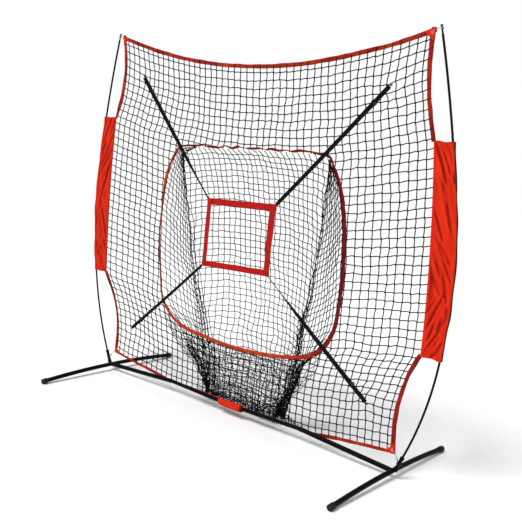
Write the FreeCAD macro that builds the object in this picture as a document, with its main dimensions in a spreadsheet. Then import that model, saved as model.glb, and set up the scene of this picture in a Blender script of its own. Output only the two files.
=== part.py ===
import FreeCAD, Part

import math
import os
from FreeCAD import Placement, Rotation, Vector
from Sketcher import Constraint

# A free-standing, bow-framed pitching net with a ball pocket and a hanging strike-zone target.
#
# Frame: the origin is on the floor under the middle of the base tube, +X runs along the base
# tube to the right, -Y points towards the pitcher and +Z is up. Lengths are millimetres and
# angles are degrees. Everything is mirrored left to right except the two halves of the centre
# joint. Net parts are stacked as thin layers on the net's own plane, which leans forward a
# little; the bowed poles have a plane of their own, which leans forward too.

DRIVING_SIZES = {
    # Base tube, feet and end caps.
    "foot_spread": 2130.0,
    "tube_height": 38.5,
    "knee_reach": 490.0,
    "knee_height": 75.0,
    "middle_height": 61.5,
    "tube_diameter": 25.4,
    "inner_diameter": 22.2,
    "tube_wall": 1.2,
    "spigot_gap": 0.15,
    "spigot_length": 60.0,
    "spigot_wall": 1.6,
    "foot_reach": 528.0,
    "foot_arch": 22.8,
    "cap_diameter": 32.4,
    "cap_depth": 30.0,
    "cap_wall": 3.0,
    # Snap buttons.
    "button_diameter": 6.0,
    "button_proud": 2.6,
    "button_inset": 32.0,
    "leaf_thickness": 0.6,
    # Poles.
    "pole_diameter": 11.0,
    "pole_bore": 6.5,
    "pole_foot": 1076.8,
    "pole_lean": 23.3,
    "pole_tilt": 1.71,
    "pole_third": 716.9,
    "bend_lower": 1841.0,
    "bend_middle": 2621.0,
    "bend_upper": 6905.0,
    "socket_straight": 90.0,
    "joint_straight": 35.0,
    "ferrule_wall": 1.2,
    "tip_length": 38.0,
    "tip_diameter": 8.0,
    "knob_diameter": 13.0,
    "knob_height": 6.0,
    # Sockets.
    "socket_start": 12.0,
    "socket_length": 80.0,
    "socket_diameter": 18.5,
    "collar_diameter": 22.0,
    "collar_height": 12.0,
    # Net and its fabric layers.
    "net_set_back": 22.6,
    "net_tilt": 2.21,
    "net_thickness": 1.2,
    "tape_thickness": 1.3,
    "layer_pitch": 1.6,
    "tape_width": 22.0,
    "mouth_scale": 1.03,
    "pocket_wall": 3.0,
    "sleeve_thickness": 19.0,
    "sleeve_wall": 1.5,
    # Centre wrap.
    "wrap_length": 170.0,
    "wrap_diameter": 41.0,
    "wrap_bore": 29.2,
    "flap_wall": 1.5,
    # Target.
    "target_width": 502.0,
    "target_tall": 397.0,
    "target_band": 34.0,
    "target_thickness": 2.5,
    "target_right": -36.0,
    "target_height": 1038.0,
    "target_front": 8.0,
    "target_rise": 0.044,
    "target_shift": 0.064,
    "strap_width": 24.0,
    "strap_thickness": 1.6,
}

CLEARANCE = 0.3
START, END, CENTRE = 1, 2, 3
ORIGIN = (-1, 1)
HORIZONTAL_AXIS, VERTICAL_AXIS = -1, -2

doc = FreeCAD.newDocument("PitchingTargetNet")
sheet = doc.addObject("Spreadsheet::Sheet", "Dimensions")


class Size:
    """A length or an angle: its number, and the sheet formula that gives it."""

    def __init__(self, value, formula):
        self.value = value
        self.formula = formula

    def join(self, sign, other, swap=False):
        first, second = (other, self) if swap else (self, other)
        a, b = number(first), number(second)
        value = {"+": a + b, "-": a - b, "*": a * b, "/": a / b if b else 0.0}[sign]
        return Size(value, f"({formula(first)} {sign} {formula(second)})")

    def __add__(self, other):
        return self.join("+", other)

    def __radd__(self, other):
        return self.join("+", other, swap=True)

    def __sub__(self, other):
        return self.join("-", other)

    def __rsub__(self, other):
        return self.join("-", other, swap=True)

    def __mul__(self, other):
        return self.join("*", other)

    def __rmul__(self, other):
        return self.join("*", other, swap=True)

    def __truediv__(self, other):
        return self.join("/", other)

    def __neg__(self):
        return self.join("*", -1)


def number(size):
    """The plain number of a Size, or of a number."""
    return size.value if isinstance(size, Size) else float(size)


def formula(size):
    """The sheet formula of a Size, or of a number."""
    return size.formula if isinstance(size, Size) else repr(float(size))


def fill_sheet():
    """Writes the driving sizes to the sheet, and returns a Size for each."""
    sizes = {}
    for row, (name, value) in enumerate(DRIVING_SIZES.items(), start=1):
        sheet.set(f"A{row}", name)
        sheet.set(f"B{row}", str(value))
        sheet.setAlias(f"B{row}", name)
        sizes[name] = Size(value, f"Dimensions.{name}")
    doc.recompute()
    return sizes


def bind(thing, name, size):
    """Sets a property by its sheet formula, or plainly if the size is a plain number."""
    if isinstance(size, Size):
        thing.setExpression(name, size.formula)
    else:
        setattr(thing, name, size)


# ---------------------------------------------------------------- sketches and features


def new_body(label):
    """An empty PartDesign body whose label is the node's name."""
    body = doc.addObject("PartDesign::Body", label.title().replace("_", ""))
    body.Label = label
    return body


def new_sketch(body, plane, offset=0.0):
    """A sketch on one of the body's own origin planes, moved along its normal by offset."""
    sketch = body.newObject("Sketcher::SketchObject", body.Name + "Sketch")
    planes = [feature for feature in body.Origin.OriginFeatures if feature.Role == plane]
    sketch.AttachmentSupport = [(planes[0], "")]
    sketch.MapMode = "FlatFace"
    sketch.AttachmentOffset = Placement(Vector(0, 0, number(offset)), Rotation())
    if isinstance(offset, Size):
        sketch.setExpression("AttachmentOffset.Base.z", offset.formula)
    return sketch


def set_constraint(sketch, size, *parts):
    """Adds a constraint with a value, bound to the sheet where the value is a Size."""
    index = sketch.addConstraint(Constraint(*parts, number(size)))
    if isinstance(size, Size):
        sketch.setExpression(f"Constraints[{index}]", size.formula)


def place_point(sketch, edge, point, x, y):
    """Fixes a point of an edge at sketch coordinates x, y."""
    for size, kind, axis in ((x, "DistanceX", VERTICAL_AXIS), (y, "DistanceY", HORIZONTAL_AXIS)):
        if number(size) == 0.0:
            sketch.addConstraint(Constraint("PointOnObject", edge, point, axis))
        else:
            set_constraint(sketch, size, kind, *ORIGIN, edge, point)


def draw_circle(sketch, x, y, radius):
    """A full circle with its centre and radius fixed."""
    centre = Vector(number(x), number(y), 0)
    edge = sketch.addGeometry(Part.Circle(centre, Vector(0, 0, 1), number(radius)))
    place_point(sketch, edge, CENTRE, x, y)
    set_constraint(sketch, radius, "Radius", edge)


def bulged_edge(start, end, sag):
    """A line from start to end, or an arc that bulges by sag to the left of that way."""
    if sag == 0:
        return Part.LineSegment(start, end)
    along = end - start
    left = Vector(-along.y, along.x, 0).normalize()
    radius = along.Length**2 / (8 * abs(sag)) + abs(sag) / 2
    centre = (start + end) * 0.5 + left * (sag - math.copysign(radius, sag))
    first, last = (end, start) if sag > 0 else (start, end)
    first_angle = math.atan2(first.y - centre.y, first.x - centre.x)
    last_angle = math.atan2(last.y - centre.y, last.x - centre.x)
    if last_angle < first_angle:
        last_angle += 2 * math.pi
    return Part.ArcOfCircle(Part.Circle(centre, Vector(0, 0, 1), radius), first_angle, last_angle)


def arc_radius(start, end, sag):
    """The radius of the arc over a chord with the given sag, as a Size or a number."""
    across = end[0] - start[0]
    along = end[1] - start[1]
    return (across * across + along * along) * (1 / (8 * abs(sag))) + abs(sag) / 2


def draw_outline(sketch, corners):
    """A closed outline. Each corner is (x, y, sag of the edge from it to the next corner)."""
    edges = []
    count = len(corners)
    for i, (x, y, sag) in enumerate(corners):
        next_x, next_y, _ = corners[(i + 1) % count]
        start = Vector(number(x), number(y), 0)
        end = Vector(number(next_x), number(next_y), 0)
        edge = sketch.addGeometry(bulged_edge(start, end, sag))
        forwards = (sketch.Geometry[edge].StartPoint - start).Length < 1e-4
        edges.append((edge, START if forwards else END, END if forwards else START))
    for i, (x, y, sag) in enumerate(corners):
        edge, first, last = edges[i]
        next_edge, next_first, _ = edges[(i + 1) % count]
        sketch.addConstraint(Constraint("Coincident", edge, last, next_edge, next_first))
        place_point(sketch, edge, first, x, y)
    for i, (x, y, sag) in enumerate(corners):
        if sag != 0:
            next_x, next_y, _ = corners[(i + 1) % count]
            radius = arc_radius((x, y), (next_x, next_y), sag)
            set_constraint(sketch, radius, "Radius", edges[i][0])


def pad(body, sketch, length, symmetric=False, backwards=False):
    """A pad of a sketch along its normal."""
    feature = body.newObject("PartDesign::Pad", body.Name + "Pad")
    feature.Profile = sketch
    bind(feature, "Length", length)
    feature.SideType = "Symmetric" if symmetric else "One side"
    feature.Reversed = backwards
    return feature


def cut(body, sketch, length, symmetric=False, backwards=False):
    """A pocket of a sketch, which runs against the sketch's normal unless it is backwards."""
    feature = body.newObject("PartDesign::Pocket", body.Name + "Pocket")
    feature.Profile = sketch
    bind(feature, "Length", length)
    feature.SideType = "Symmetric" if symmetric else "One side"
    feature.Reversed = backwards
    return feature


def turn(body, sketch, axis, angle=360.0, kind="Revolution", symmetric=False):
    """A revolution or a groove of a sketch about one of its own axes."""
    feature = body.newObject("PartDesign::" + kind, body.Name + kind)
    feature.Profile = sketch
    feature.ReferenceAxis = (sketch, [axis])
    bind(feature, "Angle", angle)
    feature.Midplane = symmetric
    return feature


def flat_piece(label, outlines, thickness, offset):
    """A flat piece in the XZ plane, with its front face offset + thickness towards -Y."""
    body = new_body(label)
    sketch = new_sketch(body, "XZ_Plane", offset)
    for outline in outlines:
        draw_outline(sketch, outline)
    pad(body, sketch, thickness)
    return body


def round_piece(label, profile):
    """A piece turned about its own Z axis from an outline of (radius, height, sag) corners."""
    body = new_body(label)
    sketch = new_sketch(body, "XZ_Plane")
    draw_outline(sketch, profile)
    turn(body, sketch, "V_Axis")
    return body


def group(label, pieces):
    """One node that holds identical pieces as separate solids."""
    compound = doc.addObject("Part::Compound", label.title().replace("_", ""))
    compound.Label = label
    compound.Links = pieces
    return compound


def mirror_outline(outline):
    """The outline reflected left to right, still drawn corner by corner the same way round."""
    count = len(outline)
    mirrored = []
    for i in range(count):
        x, y, _ = outline[-i % count]
        sag_before = outline[(-i - 1) % count][2]
        mirrored.append((-x, y, sag_before))
    return mirrored


size = fill_sheet()
outer_radius = size["tube_diameter"] / 2
bore_radius = outer_radius - size["tube_wall"]
spigot_radius = bore_radius - size["spigot_gap"]
spigot_bore = spigot_radius - size["spigot_wall"]
foot_x = size["foot_spread"] / 2
nodes = []


# ---------------------------------------------------------------- base tube and feet

# The foot is an arc, so its radius comes from its reach and its rise at the middle.
arch_radius = number(size["foot_reach"]) ** 2 / (2 * number(size["foot_arch"]))
arch_radius += number(size["foot_arch"]) / 2
arch_angle = math.degrees(math.asin(number(size["foot_reach"]) / arch_radius))
button_hole_radius = size["button_diameter"] / 2 + 0.2
button_reach = number(outer_radius + size["button_inset"])

# The base tube rises from each foot to a knee, and dips a little to the middle joint.
inner_radius = size["inner_diameter"] / 2
inner_bore = inner_radius - size["tube_wall"]
plug_radius = inner_bore - size["spigot_gap"]
plug_bore = plug_radius - size["spigot_wall"]
FOOT_JOINT = Vector(number(foot_x), 0, number(size["tube_height"]))
KNEE = Vector(number(size["knee_reach"]), 0, number(size["knee_height"]))
MIDDLE = Vector(0, 0, number(size["middle_height"]))


def line_frame(start, end, side, along=0.0):
    """A placement on the line from start to end, with local X along the line.

    The points are given for the right-hand side, and side mirrors them. Local Y stays level.
    """
    near = Vector(side * start.x, start.y, start.z)
    far = Vector(side * end.x, end.y, end.z)
    way = (far - near).normalize()
    turned = Rotation(way, Vector(0, side, 0), Vector(), "XYZ")
    return Placement(near + way * along, turned)


def bar(label, frame, radius, length, start=0.0):
    """A round bar along a frame's own X axis."""
    cylinder = doc.addObject("Part::Cylinder", label)
    bind(cylinder, "Radius", radius)
    bind(cylinder, "Height", length)
    along_x = Rotation(Vector(0, 0, 1), Vector(1, 0, 0))
    cylinder.Placement = frame.multiply(Placement(Vector(start, 0, 0), along_x))
    return cylinder


def rear_hole(label, frame):
    """A button's hole, from the middle of a tube out through its rear wall."""
    hole = doc.addObject("Part::Cylinder", label)
    bind(hole, "Radius", button_hole_radius)
    hole.Height = 20.0
    hole.Placement = Placement(frame.Base, Rotation(Vector(0, 0, 1), Vector(0, 1, 0)))
    return hole


def cut_pieces(label, solids, tools):
    """Fuses the solids, and cuts all the tools out of them."""
    pieces = []
    for word, parts in (("Solid", solids), ("Tools", tools)):
        if len(parts) == 1:
            pieces.append(parts[0])
            continue
        fused = doc.addObject("Part::MultiFuse", label.title().replace("_", "") + word)
        fused.Shapes = parts
        pieces.append(fused)
    result = doc.addObject("Part::Cut", label.title().replace("_", "") + "Cut")
    result.Base, result.Tool = pieces
    result.Label = label
    return result


def make_outer_tube(side, name):
    """The outer base tube, from the knee to the foot it is coped against."""
    body = new_body("base_tube_outer_" + name)
    length = (FOOT_JOINT - KNEE).Length
    ring = new_sketch(body, "YZ_Plane")
    draw_circle(ring, 0, 0, outer_radius)
    draw_circle(ring, 0, 0, bore_radius)
    pad(body, ring, length)
    hole = new_sketch(body, "XZ_Plane")
    draw_circle(hole, length - button_reach, 0, button_hole_radius)
    # The button comes out at the rear, which is local -Y on the left-hand side.
    cut(body, hole, size["tube_diameter"], backwards=side < 0)
    saddle = new_sketch(body, "XZ_Plane")
    draw_circle(saddle, length, 0, outer_radius + CLEARANCE)
    cut(body, saddle, size["tube_diameter"] * 2, symmetric=True)
    body.Placement = line_frame(KNEE, FOOT_JOINT, side)
    return body


# Each half of the middle joint stops this far short of the middle, so that their ends clear.
END_GAP = 0.5


def make_inner_tube(side, name):
    """The inner base tube, from the middle to the knee, with a bent end in the outer tube.

    The right-hand one also carries the plug that goes into the left-hand one at the middle.
    """
    label = "base_tube_inner_" + name
    length = (KNEE - MIDDLE).Length
    reach = size["spigot_length"]
    frame = line_frame(MIDDLE, KNEE, side)
    bent = line_frame(KNEE, FOOT_JOINT, side)
    solids = [
        bar(label + "_run", frame, inner_radius, length - END_GAP, start=END_GAP),
        bar(label + "_end", bent, inner_radius, reach),
    ]
    tools = [bar(label + "_end_bore", bent, inner_bore, reach + 6, start=-5.0)]
    other = line_frame(MIDDLE, KNEE, -1)
    joint = line_frame(MIDDLE, KNEE, -1, number(size["button_inset"]))
    if side > 0:
        solids.append(bar(label + "_plug", other, plug_radius, reach + 10, start=-10.0))
        tools.append(bar(label + "_plug_bore", other, plug_bore, reach + 6, start=-5.0))
        tools.append(bar(label + "_sleeve_bore", frame, plug_bore + 0.5, 31.0, start=-1.0))
        tools.append(bar(label + "_bore", frame, inner_bore, length - 30, start=30.0))
    else:
        tools.append(bar(label + "_bore", frame, inner_bore, length + 1, start=-1.0))
    tools.append(rear_hole(label + "_hole", joint))
    return cut_pieces(label, solids, tools)


def make_arch(label, side, radius, angle):
    """A solid bar bent to the foot's arch; its own origin is the arch's centre."""
    body = new_body(label)
    ring = new_sketch(body, "XZ_Plane")
    draw_circle(ring, 0, arch_radius, radius)
    turn(body, ring, "H_Axis", angle, symmetric=True)
    centre = Vector(side * FOOT_JOINT.x, 0, FOOT_JOINT.z - arch_radius)
    body.Placement = Placement(centre, Rotation())
    return body


def make_foot(side, name):
    """An arched foot tube with the welded spigot that the base tube slides over."""
    label = "foot_" + name
    frame = line_frame(FOOT_JOINT, KNEE, side)
    reach = outer_radius + size["spigot_length"]
    solids = [
        make_arch(label + "_arch", side, outer_radius, 2 * arch_angle),
        bar(label + "_spigot", frame, spigot_radius, reach),
    ]
    tools = [
        make_arch(label + "_channel", side, bore_radius, 2 * arch_angle + 1),
        bar(label + "_spigot_bore", frame, spigot_bore, reach + 1),
        rear_hole(label + "_hole", line_frame(FOOT_JOINT, KNEE, side, button_reach)),
    ]
    return cut_pieces(label, solids, tools)


def make_foot_cap(side, name, end, end_name):
    """A rubber cap over a foot's end, with a small flat that rests on the floor."""
    label = f"foot_cap_{end_name}_{name}"
    cap_radius = size["cap_diameter"] / 2
    mouth = outer_radius + 0.1
    body = round_piece(
        label,
        [
            (0, 0.2, 0),
            (mouth, 0.2, 0),
            (mouth, -size["cap_depth"], 0),
            (cap_radius - 1, -size["cap_depth"], 0),
            (cap_radius, -size["cap_depth"] + 1, 0),
            (cap_radius, size["cap_wall"] - 2, -0.5),
            (cap_radius - 2, size["cap_wall"], 0),
            (0, size["cap_wall"], 0),
        ],
    )
    # The cap's own -X side is its underside, and the floor is the foot's slope away from it.
    slope = math.tan(math.radians(arch_angle))
    end_z = number(size["tube_height"]) - number(size["foot_arch"])
    flat_x = -end_z / math.cos(math.radians(arch_angle))
    below = flat_x - 20
    floor = new_sketch(body, "XZ_Plane")
    reach = 60.0
    draw_outline(
        floor,
        [
            (flat_x - reach * slope, -reach, 0),
            (flat_x + reach * slope, reach, 0),
            (below + reach * slope, reach, 0),
            (below - reach * slope, -reach, 0),
        ],
    )
    cut(body, floor, 2 * size["cap_diameter"], symmetric=True)
    # Local Z points out of the foot's end and down the arch; local X is the cap's upper side.
    down = math.radians(arch_angle)
    outward = Vector(0, end * math.cos(down), -math.sin(down))
    upward = Vector(0, end * math.sin(down), math.cos(down))
    turned = Rotation(upward, outward.cross(upward), outward, "ZXY")
    reach_y = number(size["foot_reach"])
    body.Placement = Placement(Vector(side * number(foot_x), end * reach_y, end_z), turned)
    return body


# The button's flange lies this far under the top of its bore, which clears the round wall.
FLANGE_DROP = 1.4
FLANGE_THICKNESS = 1.5


def make_button(label, frame, tube_radius, bore):
    """A snap button: a domed pin with a flange inside the spigot. Local +Z is outwards."""
    pin = size["button_diameter"] / 2
    crown = tube_radius + size["button_proud"]
    flange = pin + 1.2
    flange_top = bore - FLANGE_DROP
    body = round_piece(
        label,
        [
            (0, flange_top - FLANGE_THICKNESS, 0),
            (flange, flange_top - FLANGE_THICKNESS, 0),
            (flange, flange_top, 0),
            (pin, flange_top, 0),
            (pin, crown - 1.2, -0.25),
            (1.2, crown, 0),
            (0, crown, 0),
        ],
    )
    body.Placement = Placement(frame.Base, Rotation(Vector(1, 0, 0), -90))
    return body


def make_leaf_spring(label, frame, bore):
    """A V of spring strip in the spigot: one leg carries the button, the other backs it."""
    thickness = number(size["leaf_thickness"])
    under_button = number(bore) - FLANGE_DROP - FLANGE_THICKNESS - 0.1
    back = number(bore) - 1.6
    apex = -23.2
    fold = -0.7 * back
    body = new_body(label)
    sketch = new_sketch(body, "XY_Plane")
    draw_outline(
        sketch,
        [
            (apex + 1.2, fold, 0),
            (5.0, under_button - thickness, 0),
            (5.0, under_button, 0),
            (apex, fold + thickness, -0.4),
            (apex, fold - thickness, 0),
            (6.0, -back, 0),
            (6.0, -back + thickness, 0),
        ],
    )
    pad(body, sketch, 5.0, symmetric=True)
    way = frame.Rotation.multVec(Vector(1, 0, 0))
    body.Placement = Placement(frame.Base, Rotation(way, Vector(0, 1, 0), Vector(), "XYZ"))
    return body


SIDES = ((1, "right"), (-1, "left"))

for side, name in SIDES:
    nodes.append(make_outer_tube(side, name))
    nodes.append(make_inner_tube(side, name))
    nodes.append(make_foot(side, name))
    for end, end_name in ((-1, "front"), (1, "rear")):
        nodes.append(make_foot_cap(side, name, end, end_name))
    button_frame = line_frame(FOOT_JOINT, KNEE, side, button_reach)
    nodes.append(make_button("snap_button_" + name, button_frame, outer_radius, spigot_bore))
    nodes.append(make_leaf_spring("snap_spring_" + name, button_frame, spigot_bore))
button_frame = line_frame(MIDDLE, KNEE, -1, number(size["button_inset"]))
nodes.append(make_button("snap_button_centre", button_frame, inner_radius, plug_bore))
nodes.append(make_leaf_spring("snap_spring_centre", button_frame, plug_bore))


# ---------------------------------------------------------------- poles

# A pole is walked from its foot: straight in the socket, then three bows with straight joints.
BENDS = (
    ("lower", "bend_lower", "socket_straight", "joint_straight"),
    ("middle", "bend_middle", "joint_straight", "joint_straight"),
    ("upper", "bend_upper", "joint_straight", None),
)
TIP_STRAIGHT = 30.0


def walk_straight(place, length):
    """Moves (out, up, lean) along a straight stretch."""
    out, up, lean = place
    angle = math.radians(lean)
    return out + length * math.sin(angle), up + length * math.cos(angle), lean


def walk_bow(place, radius, angle):
    """Moves (out, up, lean) along an arc that bends inwards by angle."""
    out, up, lean = place
    first, last = math.radians(lean), math.radians(lean - angle)
    out += radius * (math.cos(last) - math.cos(first))
    up += radius * (math.sin(first) - math.sin(last))
    return out, up, lean - angle


def pole_frame(side, place, start=0.0):
    """The placement at a place in the pole's plane: local Z up the pole, local X outwards."""
    out, up, lean = walk_straight(place, start)
    plane = Placement(
        Vector(side * number(size["pole_foot"]), 0, number(size["tube_height"])),
        Rotation(Vector(1, 0, 0), number(size["pole_tilt"])),
    )
    turned = Rotation(Vector(0, 1, 0), side * lean)
    if side < 0:
        turned = turned.multiply(Rotation(Vector(0, 0, 1), 180))
    return plane.multiply(Placement(Vector(side * out, 0, up), turned))


def make_pole_section(label, first, bend, angle, last):
    """A hollow rod swept along a straight, an arc that bends towards -X, and a straight."""
    body = new_body(label)
    spine = new_sketch(body, "XZ_Plane")
    start = Vector(0, 0, 0)
    knee = Vector(0, number(first), 0)
    centre = Vector(-number(bend), number(first), 0)
    half, whole = math.radians(angle / 2), math.radians(angle)
    middle = centre + Vector(math.cos(half), math.sin(half), 0) * number(bend)
    shoulder = centre + Vector(math.cos(whole), math.sin(whole), 0) * number(bend)
    top = shoulder + Vector(-math.sin(whole), math.cos(whole), 0) * number(last)
    lower = spine.addGeometry(Part.LineSegment(start, knee))
    bow = spine.addGeometry(Part.Arc(knee, middle, shoulder))
    upper = spine.addGeometry(Part.LineSegment(shoulder, top))
    spine.addConstraint(Constraint("Coincident", lower, START, *ORIGIN))
    spine.addConstraint(Constraint("Vertical", lower))
    spine.addConstraint(Constraint("Tangent", lower, END, bow, START))
    spine.addConstraint(Constraint("Tangent", bow, END, upper, START))
    set_constraint(spine, first, "Distance", lower)
    set_constraint(spine, bend, "Radius", bow)
    set_constraint(spine, last, "Distance", upper)
    set_constraint(spine, number(top.y), "DistanceY", *ORIGIN, upper, END)
    ring = new_sketch(body, "XY_Plane")
    draw_circle(ring, 0, 0, size["pole_diameter"] / 2)
    draw_circle(ring, 0, 0, size["pole_bore"] / 2)
    pipe = body.newObject("PartDesign::AdditivePipe", body.Name + "Pipe")
    pipe.Profile = ring
    pipe.Spine = (spine, ["Edge1", "Edge2", "Edge3"])
    return body


def make_ferrule(label):
    """A steel sleeve over the joint between two sections, centred on its own origin."""
    inside = size["pole_diameter"] / 2 + 0.1
    outside = inside + size["ferrule_wall"]
    half = size["joint_straight"]
    body = round_piece(
        label, [(inside, -half, 0), (outside, -half, 0), (outside, half, 0), (inside, half, 0)]
    )
    return body


def make_tip(label):
    """A metal shank plugged into the top of the pole."""
    plug = size["pole_bore"] / 2 - 0.1
    shank = size["tip_diameter"] / 2
    shoulder = size["pole_diameter"] / 2
    neck = size["tip_length"]
    return round_piece(
        label,
        [
            (0, -20.0, 0),
            (plug, -20.0, 0),
            (plug, 0.1, 0),
            (shoulder, 0.1, 0),
            (shoulder, 2.0, 0),
            (shank, 3.5, 0),
            (shank, neck, 0),
            (0, neck, 0),
        ],
    )


def make_knob(label):
    """A mushroom knob on the shank, which keeps the net's corner cord from slipping off."""
    base = size["tip_length"] + 0.1
    knob = size["knob_diameter"] / 2
    crown = base + size["knob_height"]
    return round_piece(
        label,
        [
            (0, base, 0),
            (knob - 1.0, base, 0),
            (knob, base + 1.5, 0),
            (knob, crown - 2.5, -0.8),
            (2.5, crown, 0),
            (0, crown, 0),
        ],
    )


def make_socket(label, side):
    """The pole's socket: a collared tube that is coped round the T-joint it is welded to."""
    inside = size["pole_diameter"] / 2 + 0.3
    outside = size["socket_diameter"] / 2
    collar = size["collar_diameter"] / 2
    bottom = number(size["socket_start"]) - 8.0
    top = size["socket_start"] + size["socket_length"]
    body = round_piece(
        label + "_turned",
        [
            (0, bottom, 0),
            (outside + 3.0, bottom, 0),
            (outside + 3.0, bottom + 18.0, 0),
            (outside, bottom + 30.0, 0),
            (outside, top - size["collar_height"] - 2, 0),
            (collar, top - size["collar_height"], 0),
            (collar, top - 1.5, 0),
            (collar - 1.5, top, 0),
            (inside, top, 0),
            (inside, size["socket_start"] + 7.5, 0),
            (0, size["socket_start"] + 7.5, 0),
        ],
    )
    body.Placement = pole_frame(side, POLE_FOOT)
    foot_line = line_frame(FOOT_JOINT + Vector(0, -100, 0), FOOT_JOINT, side)
    tools = []
    for frame in (foot_line, line_frame(KNEE, FOOT_JOINT, side, 400.0)):
        tools.append(bar(body.Name + "Cope", frame, outer_radius + 0.15, 200.0))
    copes = doc.addObject("Part::MultiFuse", body.Name + "Copes")
    copes.Shapes = tools
    coped = doc.addObject("Part::Cut", body.Name + "Coped")
    coped.Base = body
    coped.Tool = copes
    coped.Label = label
    return coped


POLE_FOOT = (0.0, 0.0, number(size["pole_lean"]))
POLE_LIFT = 20.0


def make_pole(side, name):
    """All the pieces of one pole, walked from the socket to the knob."""
    pieces = [make_socket("pole_socket_" + name, side)]
    ferrules = []
    place = POLE_FOOT
    for section, bend_name, first_name, last_name in BENDS:
        bend = size[bend_name]
        first = size[first_name]
        last = size[last_name] if last_name else TIP_STRAIGHT
        bow_length = number(size["pole_third"]) - number(first) - number(last)
        angle = math.degrees(bow_length / number(bend))
        lift = POLE_LIFT if section == "lower" else 0.0
        drop = 0.0 if last_name else number(size["tip_length"]) + number(size["knob_height"])
        bow_drop = max(0.0, drop - TIP_STRAIGHT + 5.0)
        part = make_pole_section(
            f"pole_{section}_{name}",
            first - lift - (0.1 if section != "lower" else 0.0),
            bend,
            angle - math.degrees(bow_drop / number(bend)),
            last - drop + bow_drop if not last_name else last - 0.1,
        )
        part.Placement = pole_frame(side, place, lift if lift else 0.1)
        pieces.append(part)
        place = walk_straight(place, number(first))
        place = walk_bow(place, number(bend), angle)
        place = walk_straight(place, number(last))
        if last_name:
            ferrule = make_ferrule(f"ferrule_{section}_{name}")
            ferrule.Placement = pole_frame(side, place)
            ferrules.append(ferrule)
        else:
            tip = make_tip("pole_tip_" + name)
            knob = make_knob("tip_knob_" + name)
            tip.Placement = pole_frame(side, place, -drop)
            knob.Placement = pole_frame(side, place, -drop)
            pieces += [tip, knob]
    pieces.append(group("ferrules_" + name, ferrules))
    return pieces, place


for side, name in SIDES:
    pole_pieces, pole_top = make_pole(side, name)
    nodes += pole_pieces


# ---------------------------------------------------------------- net, pocket and fabric edges

# Corner points of the net in its own plane, right-hand side, as (x, height).
TOP_CORNER = (1058.0, 2131.0)
SLEEVE_TOP = (1114.0, 1636.0)
SLEEVE_BOTTOM = (1160.0, 641.0)
BOTTOM_CORNER = (1060.0, 118.0)
BOTTOM_KNEE = (560.0, 60.0)
TOP_SAG = 166.0
BOTTOM_SAGS = (-3.0, 6.0)
SIDE_SAGS = (27.0, -15.0, 48.0)

# The pocket's mouth: a rounded frame, wider than high, as (x, height, outward bulge).
MOUTH = [
    (-530.0, 1497.0, 6.0),
    (520.0, 1527.0, 32.0),
    (650.0, 1092.0, 6.0),
    (645.0, 697.0, 58.0),
    (406.0, 457.0, 33.0),
    (-307.0, 427.0, 48.0),
    (-631.0, 581.0, 15.0),
    (-662.0, 1097.0, 33.0),
]
MOUTH_MIDDLE = (0.0, 970.0)

NET_FRAME = Placement(
    Vector(0, number(size["net_set_back"]), 0),
    Rotation(Vector(1, 0, 0), number(size["net_tilt"])),
)


def front_layer(count):
    """How far in front of the net's plane the back of a fabric layer lies."""
    return size["net_thickness"] / 2 + CLEARANCE + (count - 1) * size["layer_pitch"]


def mouth_outline(scale):
    """The mouth, grown or shrunk about its middle, clockwise with its bulges outwards."""
    middle_x, middle_z = MOUTH_MIDDLE
    outline = []
    for x, z, bulge in MOUTH:
        outline.append((scale * (x - middle_x) + middle_x, scale * (z - middle_z) + middle_z, bulge))
    return outline


def net_outline():
    """The net's outline, clockwise from its top left corner, with each edge's sag."""
    right = [TOP_CORNER, SLEEVE_TOP, SLEEVE_BOTTOM, BOTTOM_CORNER, BOTTOM_KNEE]
    left = [(-x, z) for x, z in reversed(right)]
    upper, middle, lower = SIDE_SAGS
    hem, centre = BOTTOM_SAGS
    right_sags = [-upper, -middle, -lower, hem]
    sags = [-TOP_SAG] + right_sags + [centre] + list(reversed(right_sags))
    corners = [left[-1]] + right + left[:-1]
    return [(x, z, sag) for (x, z), sag in zip(corners, sags)]


def band(start, end, sag, shift):
    """A curved band of tape: an edge of the net, and the same edge shifted inwards."""
    shift_x, shift_z = shift
    return [
        (start[0], start[1], sag),
        (end[0], end[1], 0),
        (end[0] + shift_x, end[1] + shift_z, -sag),
        (start[0] + shift_x, start[1] + shift_z, 0),
    ]


def bottom_band(width):
    """The tape along the net's bottom edge, which dips towards the middle."""
    corners = [BOTTOM_CORNER, BOTTOM_KNEE]
    corners += [(-x, z) for x, z in reversed(corners)]
    hem, centre = BOTTOM_SAGS
    sags = [hem, centre, hem]
    lower = [(x, z, sag) for (x, z), sag in zip(corners, sags + [0])]
    upper = [(x, z + width, -sag) for (x, z), sag in zip(corners[::-1], sags[::-1] + [0])]
    return lower + upper


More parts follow.
